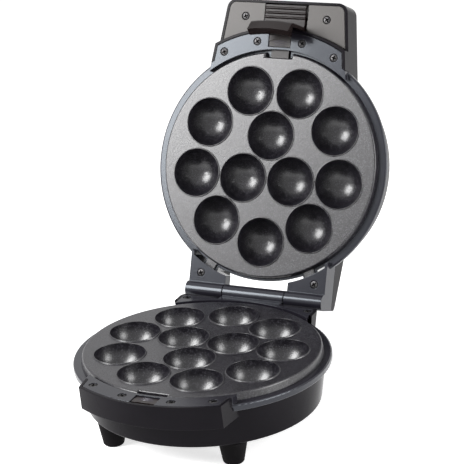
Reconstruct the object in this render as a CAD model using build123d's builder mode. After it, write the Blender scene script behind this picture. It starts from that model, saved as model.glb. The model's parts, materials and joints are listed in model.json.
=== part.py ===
from build123d import *
import os
from math import acos, asin, atan2, cos, hypot, radians, sin, tan

# Cake pop maker: a round countertop cooker whose lid, with the same plate of
# twelve half-round cups as the base, swings up on a rear hinge.
#
# Frame: +Z up, the handle toward -Y and the hinge toward +Y, origin on the
# table under the middle of the open machine.  Everything is drawn about the
# centre of the lower plate, and each piece is moved into the frame as it is
# saved.  The two plates meet at the parting plane.  Base and lid are built
# alike from it, so most heights are drops, that is distances from the parting
# plane: side = BASE counts them down and side = LID counts them up.  Lid
# pieces are drawn with the lid shut and then swung open to the rest pose.

os.makedirs("parts", exist_ok=True)

BASE = -1
LID = 1

# ------------------------------------------------------------------ sizes, mm
foot_height = 21.0
base_depth = 47.0  # parting plane to the underside of the base shell
lid_height = 50.0  # parting plane to the top of the lid
open_angle = 111.0  # lid swing from shut to its stop, degrees
frame_back = 63.2  # the frame's origin lies this far behind the plate's centre
fit_gap = 0.3  # between pieces that drop into each other
seat_gap = 0.2  # between a rim and the edge that it caps
block_wall = 2.5  # moulded walls of blocks, handle and hinge
base_wall = 2.8
lid_wall = 2.0

# cooking plates
outer_cups = 9
outer_cup_ring = 70.0  # radius of the ring of cup centres
inner_cups = 3
inner_cup_ring = 26.6
cup_radius = 21.9
bead_width = 0.9
bead_height = 0.9
bead_taper = 25.0
plate_gap = 0.4  # between the beads of the two plates when shut
plate_radius = 101.5
skirt_spread = 1.5  # how far the skirt stands out past the face
plate_sheet = 1.8
plate_edge_fillet = 1.4
notch_width = 26.0  # notch for the release catch
notch_depth = 4.5
notch_slot_width = 18.0
notch_slot_height = 2.6
ear_width = 10.0  # rear ears that slip under the bezel
ear_thickness = 1.8
ear_grip = 4.9  # how far they reach in behind the bezel's upstand
ear_angle = 27.0  # to each side of the rear centre line
ear_clearance = 0.5
ear_end_clearance = 1.4

# bezels
seat_drop = 7.3  # the ledge that the plate stands on
ledge_width = 4.5  # inward from the plate's skirt
ledge_thickness = 2.5
rim_width = 5.5  # outward from the groove
rim_depth = 6.0
rim_thickness = 2.5
rim_fillet = 1.4
plate_clearance = 1.5  # between the skirt and the upstand round the plate
upstand = 2.0
tab_drop = 0.5  # the faces of tabs, hinge platform and brackets
tab_thickness = 2.5

# shells
rim_cover = 5.0  # how far the bezel's rim stands out over the shells
shell_taper = 4.7
shell_corner = 2.0
lid_taper = 3.5
lid_corner = 8.0
lid_crown = 2.0  # rise of the domed top

# front blocks and the lid's handle
block_reach = 14.0  # outward from the bezel's rim
block_depth = 21.0
draft = 6.5  # degrees
front_half_width = 65.5  # of block and handle, where they leave the round shell
front_start = 84.0
front_taper = 6.9  # degrees by which each end closes in toward the handle
front_root = 60.0  # where the block has run well into the round shell
handle_reach = 150.0
handle_corner = 9.0
handle_face = 10.4  # the handle's underside
handle_top = 39.5
handle_top_fillet = 4.0
cover_thickness = 2.5

# hinge
hinge_half_width = 66.0
hinge_y = 118.5
barrel_radius = 7.25
pin_radius = 2.5
pin_clearance = 0.06
press_clearance = 0.01
pin_engagement = 16.0
base_barrel_half = 29.25
barrel_gap = 0.9
web_thickness = 5.5
pod_back = 107.0
pod_floor_back = 103.0
pod_floor_half_width = 61.5
pod_corner = 6.0
pod_front = 60.0  # where the pod has run well into the round shell
lug_setback = 3.5  # outward from the groove
lug_shell_gap = 0.3
lug_split = 22.0  # seam between the lid's bezel and shell
lug_shallow = 12.0  # depth of the lugs' inner parts
lug_deep_x = 41.0  # from here outward they are deep
lug_root = 80.0
lug_root_depth = 44.0  # they slope from here
lug_end_depth = 30.0  # to here
lug_end_corner = 5.0
rib_width = 3.0
rib_spread = 3.0  # degrees to each side of an ear
stop_x = 46.0
stop_width = 8.0
stop_gap = 0.15
stop_reach = 12.0
stop_start = 4.0
stop_height = 22.0

# latch
latch_half_width = 19.5
latch_well_half_width = 21.0
latch_well_wall = 2.4
latch_well_height = 12.5
latch_wall = 3.2
latch_clearance = 0.8
latch_hook_drop = 32.0
latch_bend_drop = 23.5  # below this the wall curls in under the block
latch_bend_radius = 6.0
latch_tip_radius = 119.7  # where the curl ends
latch_catch = 6.2  # how far the nose reaches under the base block
latch_nose_gap = 0.3
latch_nose_height = 3.6
latch_pivot_y = -131.5
latch_pivot_rise = 16.0
latch_pin_radius = 1.5
latch_root_radius = 4.0
latch_grip_end = 146.0
latch_grip_face = 8.2
latch_grip_thickness = 2.8
latch_rib_count = 3
latch_rib_pitch = 4.2
latch_rib_radius = 1.1
latch_rib_start = 134.5
spring_wire = 0.5  # radius
spring_coils = 5
spring_space_half_width = 5.0
spring_grip_leg = 9.0  # how far each leg's tip lies from the pivot, outward
spring_roof_leg = 6.0
spring_roof_rise = 7.5

# plate release catches
release_half_width = 10.4
release_gap = 0.4
release_inner = 107.0
release_length = 10.4
release_recess = 0.5  # finger rest in the push plate, ended by an arc
release_arc_radius = 19.0
release_arc_edge = 3.1  # from the plate's outer end to the arc
release_drop = 1.1
release_flange = 1.5
release_flange_lip = 1.8
release_tongue_tip = 95.6
release_tongue_thickness = 1.8
release_tongue_half_width = 8.5
release_seat = 0.1

# heating
element_radius = 48.3
element_tube_radius = 3.0
element_drop = 17.5
element_gap = 36.0  # degrees left open between the terminals
element_gap_centre = 130.0
element_bend = 7.0
element_end_drop = 31.0
element_pin_drop = 37.0
element_pin_radius = 1.4
pan_floor_drop = 27.5
pan_floor_radius = 86.0
pan_wall_radius = 97.0
pan_flange_radius = 101.6
base_pan_sheet = 0.8
lid_pan_sheet = 0.5
clip_width = 8.0
clip_foot = 6.0
clip_sheet = 1.2
clip_gap = 0.3
clip_count = 3
clip_start = -50.0  # degrees

# screws and their bosses
screw_head_radius = 3.5
screw_head_height = 1.6
screw_shank_radius = 1.6
screw_length = 12.0
cross_length = 4.2
cross_width = 0.9
cross_depth = 0.8
hole_clearance = 0.05
boss_radius = 4.0
head_pocket_clearance = 0.25
tab_screw_radius = 113.0
tab_screw_angles = (-28.0, -11.0, 11.0, 28.0)
base_hinge_screw_x = 58.0
base_hinge_screw_y = 98.5
lid_hinge_screw_x = 55.0
lid_hinge_screw_y = 103.0
hinge_boss_length = 20.0
hinge_boss_web = 12.0
cover_screw_x = 39.4
cover_screw_y = -134.5
pan_screw_radius = 34.0
pan_screw_count = 3
pan_screw_start = 90.0
pan_screw_length = 9.0

# feet
front_foot_x = 54.5
front_foot_y = -68.5
rear_foot_x = 48.0
rear_foot_y = 88.0
foot_top_radius = 12.5
foot_bottom_radius = 8.6
foot_bottom_fillet = 2.5
foot_bore_radius = 4.0
foot_bore_depth = 12.0
foot_boss_height = 11.0
foot_screw_length = 20.0

# inside the base
thermostat_radius = 8.0
thermostat_height = 8.5
thermostat_flange_length = 27.0
thermostat_flange_width = 9.0
thermostat_flange_thickness = 1.0
blade_width = 4.8
blade_thickness = 0.8
blade_length = 5.0
blade_spacing = 5.0
fuse_radius = 2.0
fuse_length = 12.0
fuse_lead_radius = 0.6
fuse_lead_length = 8.0
fuse_x = -20.0
terminal_length = 30.0
terminal_width = 15.0
terminal_height = 11.0
terminal_bore = 2.4
terminal_pitch = 9.0
terminal_y = 66.0
gland_height = 34.0  # table to the axis of the cord inlet
gland_flange_radius = 8.0
gland_flange = 2.5
gland_body_radius = 5.5
gland_bore_radius = 3.6
gland_depth = 9.0
gland_pad_radius = 10.5
gland_pad_back = 105.5
vent_length = 26.0
vent_width = 3.0
vent_count = 4
vent_pitch = 9.0

# lamps in the lid
lens_radius = 3.0
lens_flange = 1.2
lens_flange_radius = 4.5
lens_fillet = 0.5
lens_depth = 3.0
lens_x = 9.0
lens_y = -72.0

# ------------------------------------------------ heights and places from them
parting_z = foot_height + base_depth
parting_plane = Plane.XY.offset(parting_z)
reach = 4 * handle_reach  # larger than anything that it is used to cut
hinge_axis = Axis((0, hinge_y, parting_z), (1, 0, 0))
face_drop = plate_gap / 2 + bead_height
skirt_radius = plate_radius + skirt_spread
notch_radius = plate_radius - notch_depth
ledge_radius = skirt_radius - ledge_width
groove_radius = skirt_radius + plate_clearance  # inner face of the upstand
ear_radius = groove_radius + ear_grip
rim_radius = groove_radius + rim_width
lug_front_radius = groove_radius + lug_setback
shell_top_radius = rim_radius - rim_cover
shell_bottom_radius = shell_top_radius - shell_taper
lid_top_radius = shell_top_radius - lid_taper
block_radius = rim_radius + block_reach
rim_bottom = seat_drop + rim_depth
ledge_bottom = seat_drop + ledge_thickness
shell_edge = ledge_bottom + seat_gap
upstand_radius = groove_radius + upstand
tab_bottom = tab_drop + tab_thickness
tab_radius = block_radius - block_wall - fit_gap - tab_bottom * tan(radians(draft))
platform_half_width = hinge_half_width - block_wall - 2 * fit_gap
platform_back = pod_back - block_wall - 2 * fit_gap
block_inner_radius = block_radius - block_wall
hinge_inner_half_width = hinge_half_width - block_wall
block_clear_radius = rim_radius + fit_gap
rim_trim_half_width = hinge_half_width + fit_gap
floor_top = base_depth - base_wall  # drop of the base's floor
lid_ceiling = lid_height - lid_crown - lid_wall
handle_ceiling = handle_top - block_wall
cover_back = handle_face + cover_thickness
lug_back = hinge_y + barrel_radius
lug_inner_x = base_barrel_half + barrel_gap
lug_cover_start = lug_split + lug_shell_gap
well_ceiling = cover_back + latch_well_height
pivot_bore = latch_pin_radius + pin_clearance
shank_hole = screw_shank_radius + hole_clearance
head_pocket = screw_head_radius + head_pocket_clearance
release_step = tab_bottom + release_seat
release_tongue_drop = release_step + release_flange


def level(side, drop):
    """Plane parallel to the table, at a drop from the parting plane."""
    return Plane.XY.offset(parting_z + side * drop)


def height(side, drop):
    return parting_z + side * drop


def swing_open(piece):
    """Swing a lid piece, drawn shut, open to the rest pose."""
    piece.part = piece.part.rotate(hinge_axis, -open_angle)


def save(piece, name):
    """Write a piece, moved from where it is drawn into the frame."""
    placed = piece.part.moved(Location((0, -frame_back, 0)))
    placed.label = name
    export_step(placed, f"parts/{name}.step")


def save_lid(piece, name):
    swing_open(piece)
    save(piece, name)


def outer_cup_places():
    """Centres of the outer ring of cups, with a gap at the handle."""
    return PolarLocations(outer_cup_ring, outer_cups, start_angle=-90 + 180 / outer_cups)


def inner_cup_places():
    """Centres of the inner ring of cups, one of them toward the handle."""
    return PolarLocations(inner_cup_ring, inner_cups, start_angle=-90)


def ear_places(radius, spread):
    """Places at an angle to each side of the rear centre line."""
    return PolarLocations(radius, 2, start_angle=90 - spread, angular_range=2 * spread, endpoint=True)


def tab_screw_places():
    """Four screws along the arc of the front tab."""
    angles = [radians(angle) for angle in tab_screw_angles]
    return [(tab_screw_radius * sin(a), -tab_screw_radius * cos(a)) for a in angles]


def base_hinge_screw_places():
    return [(-base_hinge_screw_x, base_hinge_screw_y), (base_hinge_screw_x, base_hinge_screw_y)]


def lid_hinge_screw_places():
    return [(-lid_hinge_screw_x, lid_hinge_screw_y), (lid_hinge_screw_x, lid_hinge_screw_y)]


def cover_screw_places():
    return [(-cover_screw_x, cover_screw_y), (cover_screw_x, cover_screw_y)]


def pan_screw_places():
    angles = [radians(pan_screw_start + number * 360 / pan_screw_count) for number in range(pan_screw_count)]
    return [(pan_screw_radius * cos(a), pan_screw_radius * sin(a)) for a in angles]


def foot_places():
    front = [(-front_foot_x, front_foot_y), (front_foot_x, front_foot_y)]
    rear = [(-rear_foot_x, rear_foot_y), (rear_foot_x, rear_foot_y)]
    return front + rear


def turned(outline):
    """Solid of revolution about the centre line, from (radius, height) points."""
    with BuildPart() as solid:
        with BuildSketch(Plane.XZ):
            with BuildLine():
                Polyline(*outline, close=True)
            make_face()
        revolve(axis=Axis.Z)
    return solid.part


def front_outline(inset):
    """Plan of the front block and handle, with its edges moved in by an inset."""
    root_half_width = front_half_width + (front_start - front_root) * tan(radians(front_taper)) - inset
    end_half_width = front_half_width - (handle_reach - front_start) * tan(radians(front_taper)) - inset
    with BuildSketch() as outline:
        with BuildLine():
            Polyline(
                (root_half_width, -front_root),
                (end_half_width, inset - handle_reach),
                (-end_half_width, inset - handle_reach),
                (-root_half_width, -front_root),
                close=True,
            )
        make_face()
    return outline.sketch


def front_band(side, inner, outer, near, far, inset, slope):
    """Arc-shaped band across the front between two drops, drafted outside."""
    outline = [
        (inner, height(side, near)),
        (outer, height(side, near)),
        (outer - (far - near) * tan(radians(slope)), height(side, far)),
        (inner, height(side, far)),
    ]
    with BuildPart() as band:
        add(turned(outline))
        with BuildSketch(level(side, near)):
            add(front_outline(inset))
        extrude(amount=side * (far - near), mode=Mode.INTERSECT)
    return band.part


def slab(side, near, far, outline):
    """Flat piece between two drops, with an outline drawn in plan."""
    with BuildPart() as piece:
        with BuildSketch(level(side, near)):
            add(outline)
        extrude(amount=side * (far - near))
    return piece.part


def screw(length, cross):
    """Pan-head screw, head up, with the underside of its head at the origin."""
    with BuildPart() as piece:
        with BuildSketch(Plane.XY):
            Circle(screw_head_radius)
        extrude(amount=screw_head_height)
        if cross:
            chamfer(piece.edges().sort_by(Axis.Z)[-1], screw_head_height / 4)
            with BuildSketch(Plane.XY.offset(screw_head_height)):
                Rectangle(cross_length, cross_width)
                Rectangle(cross_width, cross_length)
            extrude(amount=-cross_depth, mode=Mode.SUBTRACT)
        with BuildSketch(Plane.XY):
            Circle(screw_shank_radius)
        extrude(amount=-length)
    return piece.part


def screws(places, seat, side, length, cross):
    """A group of like screws whose heads face the parting plane."""
    turn = (0, 0, 0) if side == BASE else (180, 0, 0)
    with BuildPart() as group:
        with Locations(level(side, seat)):
            with Locations(*places):
                add(screw(length, cross), rotation=turn)
    return group


def round_holes(places, side, near, far, radius):
    """Round holes between two drops."""
    with BuildPart() as holes:
        with BuildSketch(level(side, near)):
            with Locations(*places):
                Circle(radius)
        extrude(amount=side * (far - near))
    return holes.part


# ------------------------------------------------------------- cooking plates
# Pressed cap with a skirt, twelve beaded cups, the notch for the release catch
# in front and two ears behind.
plate_face = level(BASE, face_drop)


def plate_cap(inset):
    """Cap with its notch, as a solid with its faces moved in by an inset."""
    top = height(BASE, face_drop + inset)
    outline = [
        (0, top),
        (plate_radius - inset, top),
        (skirt_radius - inset, height(BASE, seat_drop)),
        (0, height(BASE, seat_drop)),
    ]
    with BuildPart() as cap:
        add(turned(outline))
        with BuildSketch(plate_face):
            with Locations((0, inset - notch_radius - reach / 2)):
                Rectangle(notch_width + 2 * inset, reach)
        extrude(amount=face_drop - seat_drop, mode=Mode.SUBTRACT)
    return cap


with BuildPart() as lower_plate:
    add(plate_cap(0).part)
    fillet(lower_plate.faces().sort_by(Axis.Z)[-1].edges(), plate_edge_fillet)
    add(plate_cap(plate_sheet).part, mode=Mode.SUBTRACT)
    with BuildSketch(plate_face):
        with outer_cup_places():
            Circle(cup_radius + bead_width)
        with inner_cup_places():
            Circle(cup_radius + bead_width)
    extrude(amount=bead_height, taper=bead_taper)
    cup_top = (Align.CENTER, Align.CENTER, Align.MAX)
    with Locations(plate_face):
        with outer_cup_places():
            Sphere(cup_radius + plate_sheet, arc_size1=-90, arc_size2=0, align=cup_top)
        with inner_cup_places():
            Sphere(cup_radius + plate_sheet, arc_size1=-90, arc_size2=0, align=cup_top)
    with BuildSketch(plate_face):
        with outer_cup_places():
            Circle(cup_radius)
        with inner_cup_places():
            Circle(cup_radius)
    extrude(amount=bead_height, mode=Mode.SUBTRACT)
    with Locations(plate_face):
        with outer_cup_places():
            Sphere(cup_radius, arc_size1=-90, arc_size2=0, align=cup_top, mode=Mode.SUBTRACT)
        with inner_cup_places():
            Sphere(cup_radius, arc_size1=-90, arc_size2=0, align=cup_top, mode=Mode.SUBTRACT)
    # slot that the catch's tongue enters, in the back wall of the notch
    slot_drop = release_tongue_drop + release_tongue_thickness / 2
    with BuildSketch(Plane.XZ.offset(notch_radius)):
        with Locations((0, height(BASE, slot_drop))):
            Rectangle(notch_slot_width, notch_slot_height)
    extrude(amount=-2 * plate_sheet, mode=Mode.SUBTRACT)
    # rear ears
    ear_start = skirt_radius - plate_sheet / 2
    with BuildSketch(level(BASE, seat_drop)):
        with ear_places((ear_start + ear_radius) / 2, ear_angle):
            Rectangle(ear_radius - ear_start, ear_width)
    extrude(amount=ear_thickness)
save(lower_plate, "lower_plate")

with BuildPart() as upper_plate:
    mirror(lower_plate.part, about=parting_plane)
save_lid(upper_plate, "upper_plate")


# --------------------------------------------------------------------- bezels
def ear_windows(side):
    """Room for the plate's ears between the ledge and the face above it."""
    with BuildSketch() as outline:
        with ear_places((groove_radius + ear_radius) / 2, ear_angle):
            Rectangle(ear_radius - groove_radius + 2 * ear_end_clearance, ear_width + 2 * ear_clearance)
    return slab(side, seat_drop - ear_thickness - ear_clearance, seat_drop, outline.sketch)


def bezel_front(side):
    """Ledge that carries a plate, the rim that caps the shell, and the front
    tab with its screw pockets and the opening for the release catch."""
    with BuildSketch() as rim_section:
        with BuildLine():
            Polyline(
                (ledge_radius, height(side, seat_drop)),
                (rim_radius, height(side, seat_drop)),
                (rim_radius, height(side, rim_bottom)),
                (rim_radius - rim_thickness, height(side, rim_bottom)),
                (rim_radius - rim_thickness, height(side, ledge_bottom)),
                (ledge_radius, height(side, ledge_bottom)),
                close=True,
            )
        make_face()
        fillet(rim_section.vertices().group_by(Axis.X)[-1], rim_fillet)
    with BuildSketch() as upstand_outline:
        Circle(upstand_radius)
        Circle(groove_radius, mode=Mode.SUBTRACT)
        add(front_outline(0), mode=Mode.INTERSECT)
    with BuildSketch() as tab_end_outline:
        Circle(rim_radius)
        Circle(groove_radius, mode=Mode.SUBTRACT)
        add(front_outline(0), mode=Mode.INTERSECT)
        add(front_outline(block_wall), mode=Mode.SUBTRACT)
    with BuildSketch() as rim_trim_outline:
        Rectangle(2 * rim_trim_half_width, reach, align=(Align.CENTER, Align.MIN))
        add(front_outline(-fit_gap))
    with BuildPart() as bezel:
        with BuildSketch(Plane.XZ):
            add(rim_section.sketch)
        revolve(axis=Axis.Z)
        # no rim where the block in front and the hinge behind take its place
        add(slab(side, ledge_bottom, rim_bottom + rim_depth, rim_trim_outline.sketch), mode=Mode.SUBTRACT)
        add(front_band(side, groove_radius, tab_radius, tab_drop, tab_bottom, block_wall + fit_gap, 0))
        add(front_band(side, groove_radius, rim_radius, tab_drop, tab_bottom, 0, 0))
        add(slab(side, tab_drop, seat_drop, upstand_outline.sketch))
        add(slab(side, tab_drop, seat_drop, tab_end_outline.sketch))
        add(round_holes(tab_screw_places(), side, 0, tab_bottom, shank_hole), mode=Mode.SUBTRACT)
        pocket_floor = tab_drop + screw_head_height
        add(round_holes(tab_screw_places(), side, 0, pocket_floor, head_pocket), mode=Mode.SUBTRACT)
        # opening of the release catch, and the window for its tongue
        slot_start = release_inner - release_gap
        with BuildSketch(level(side, 0)):
            with Locations((0, -slot_start)):
                Rectangle(
                    2 * (release_half_width + release_gap),
                    block_radius - slot_start,
                    align=(Align.CENTER, Align.MAX),
                )
        extrude(amount=side * tab_bottom, mode=Mode.SUBTRACT)
        window_bottom = release_tongue_drop + release_tongue_thickness + release_gap
        with BuildSketch(level(side, tab_bottom)):
            with Locations((0, upstand - groove_radius)):
                Rectangle(
                    2 * (release_tongue_half_width + release_gap),
                    release_inner - groove_radius + upstand,
                    align=(Align.CENTER, Align.MAX),
                )
        extrude(amount=side * (window_bottom - tab_bottom), mode=Mode.SUBTRACT)
    return bezel.part


# Base bezel: adds the hinge platform behind and the middle barrel.
with BuildSketch() as platform_outline:
    Rectangle(2 * platform_half_width, platform_back, align=(Align.CENTER, Align.MIN))
    fillet(platform_outline.vertices().group_by(Axis.Y)[-1], pod_corner - block_wall)
    Circle(groove_radius, mode=Mode.SUBTRACT)
with BuildSketch() as rear_upstand_outline:
    Circle(upstand_radius)
    Circle(groove_radius, mode=Mode.SUBTRACT)
    Rectangle(2 * platform_half_width, platform_back, align=(Align.CENTER, Align.MIN), mode=Mode.INTERSECT)
with BuildSketch() as web_outline:
    Rectangle(2 * base_barrel_half, hinge_y, align=(Align.CENTER, Align.MIN))
    Circle(groove_radius, mode=Mode.SUBTRACT)
with BuildPart() as base_bezel:
    add(bezel_front(BASE))
    add(slab(BASE, tab_drop, tab_bottom, platform_outline.sketch))
    add(slab(BASE, tab_drop, seat_drop, rear_upstand_outline.sketch))
    add(slab(BASE, tab_drop, tab_drop + web_thickness, web_outline.sketch))
    add(ear_windows(BASE), mode=Mode.SUBTRACT)
    with BuildSketch(Plane.YZ.offset(-base_barrel_half)):
        with Locations((hinge_y, parting_z)):
            Circle(barrel_radius)
    extrude(amount=2 * base_barrel_half)
    with BuildSketch(Plane.YZ.offset(-base_barrel_half)):
        with Locations((hinge_y, parting_z)):
            Circle(pin_radius + press_clearance)
    extrude(amount=pin_engagement + fit_gap, mode=Mode.SUBTRACT)
    with BuildSketch(Plane.YZ.offset(base_barrel_half)):
        with Locations((hinge_y, parting_z)):
            Circle(pin_radius + press_clearance)
    extrude(amount=-pin_engagement - fit_gap, mode=Mode.SUBTRACT)
    places = base_hinge_screw_places()
    add(round_holes(places, BASE, 0, tab_bottom, shank_hole), mode=Mode.SUBTRACT)
    add(round_holes(places, BASE, 0, tab_drop + screw_head_height, head_pocket), mode=Mode.SUBTRACT)
save(base_bezel, "base_bezel")


def lug_outline(inner_x, inset):
    """Plan of both hinge lugs from a distance off centre, their walls moved in by an inset."""
    width = hinge_half_width - inner_x - 2 * inset
    with BuildSketch() as outline:
        for hand in (-1, 1):
            with Locations((hand * (hinge_half_width + inner_x) / 2, (lug_back - inset) / 2)):
                Rectangle(width, lug_back - inset)
        Circle(lug_front_radius + inset, mode=Mode.SUBTRACT)
    return outline.sketch


def lug_tie_outline(start_radius):
    """Plan of the outer walls that tie the lugs to the round part."""
    with BuildSketch() as outline:
        for hand in (-1, 1):
            with Locations((hand * (hinge_half_width - block_wall / 2), lug_back / 2)):
                Rectangle(block_wall, lug_back)
        Circle(start_radius, mode=Mode.SUBTRACT)
        Circle(lug_front_radius + block_wall, mode=Mode.INTERSECT)
    return outline.sketch


def lug_slope(inset):
    """Everything under the sloping back of the lugs, moved in by an inset."""
    with BuildPart() as under:
        with BuildSketch(Plane.YZ.offset(-hinge_half_width)) as side_view:
            with BuildLine():
                Polyline(
                    (0, height(LID, 0)),
                    (lug_back - inset, height(LID, 0)),
                    (lug_back - inset, height(LID, lug_end_depth - inset)),
                    (lug_root, height(LID, lug_root_depth - inset)),
                    (0, height(LID, lug_root_depth - inset)),
                    close=True,
                )
            make_face()
            corner = side_view.vertices().sort_by_distance((lug_back, height(LID, lug_end_depth)))[0]
            fillet(corner, lug_end_corner - inset)
        extrude(amount=2 * hinge_half_width)
    return under.part


# Lid bezel: the same front, then at the hinge two hollow lugs with the outer
# barrels, set off from the ring by a gap that a few ribs cross.
with BuildSketch() as ring_trim_outline:
    Rectangle(2 * hinge_inner_half_width, reach, align=(Align.CENTER, Align.MIN))
    Circle(shell_top_radius, mode=Mode.SUBTRACT)
with BuildSketch() as rib_outline:
    for spread in (ear_angle - rib_spread, ear_angle + rib_spread):
        with ear_places((groove_radius + lug_front_radius) / 2, spread):
            Rectangle(lug_front_radius - groove_radius + block_wall, rib_width)
barrel_length = hinge_half_width - lug_inner_x
with BuildPart() as lid_bezel:
    add(bezel_front(LID))
    add(slab(LID, 0, rim_bottom, ring_trim_outline.sketch), mode=Mode.SUBTRACT)
    add(slab(LID, tab_drop, lug_shallow, lug_outline(lug_inner_x, 0)))
    add(slab(LID, tab_drop, lug_split, lug_outline(lug_deep_x, 0)))
    shallow_floor = lug_shallow - block_wall
    add(slab(LID, tab_bottom, shallow_floor, lug_outline(lug_inner_x, block_wall)), mode=Mode.SUBTRACT)
    add(slab(LID, tab_bottom, lug_split, lug_outline(lug_deep_x, block_wall)), mode=Mode.SUBTRACT)
    add(slab(LID, tab_drop, lug_split, lug_tie_outline(shell_top_radius + fit_gap)))
    add(slab(LID, seat_drop, ledge_bottom, rib_outline.sketch))
    add(ear_windows(LID), mode=Mode.SUBTRACT)
    for hand in (-1, 1):
        with BuildSketch(Plane.YZ.offset(hand * lug_inner_x)):
            with Locations((hinge_y, parting_z)):
                Circle(barrel_radius)
        extrude(amount=hand * barrel_length)
        with BuildSketch(Plane.YZ.offset(hand * lug_inner_x)):
            with Locations((hinge_y, parting_z)):
                Circle(pin_radius + pin_clearance)
        extrude(amount=hand * (barrel_length - block_wall), mode=Mode.SUBTRACT)
    places = lid_hinge_screw_places()
    add(round_holes(places, LID, 0, tab_bottom, shank_hole), mode=Mode.SUBTRACT)
    add(round_holes(places, LID, 0, tab_drop + screw_head_height, head_pocket), mode=Mode.SUBTRACT)
save_lid(lid_bezel, "lid_bezel")

# Hinge pins: pressed into the middle barrel, running in the outer ones.
pin_length = pin_engagement + barrel_gap + barrel_length - block_wall - fit_gap
with BuildPart() as hinge_pins:
    for hand in (-1, 1):
        with BuildSketch(Plane.YZ.offset(hand * (base_barrel_half - pin_engagement))):
            with Locations((hinge_y, parting_z)):
                Circle(pin_radius)
        extrude(amount=hand * pin_length)
save(hinge_pins, "hinge_pins")


# ----------------------------------------------------------------- base shell
def pod(inset, top_drop, bottom_drop):
    """Tapered body under the hinge platform, its walls moved in by an inset."""
    with BuildPart() as body:
        with BuildSketch(level(BASE, top_drop)):
            with Locations((0, (pod_front + pod_back - inset) / 2)):
                Rectangle(2 * (hinge_half_width - inset), pod_back - inset - pod_front)
        with BuildSketch(level(BASE, bottom_drop)):
            with Locations((0, (pod_front + pod_floor_back - inset) / 2)):
                Rectangle(2 * (pod_floor_half_width - inset), pod_floor_back - inset - pod_front)
        loft()
        upright = body.edges().filter_by(lambda e: e.length > base_depth / 2)
        corners = upright.filter_by(lambda e: abs(e.center().X) > pod_floor_half_width / 2)
        fillet(corners.filter_by(lambda e: e.center().Y > pod_floor_back - pod_corner), pod_corner - inset)
    return body.part


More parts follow.
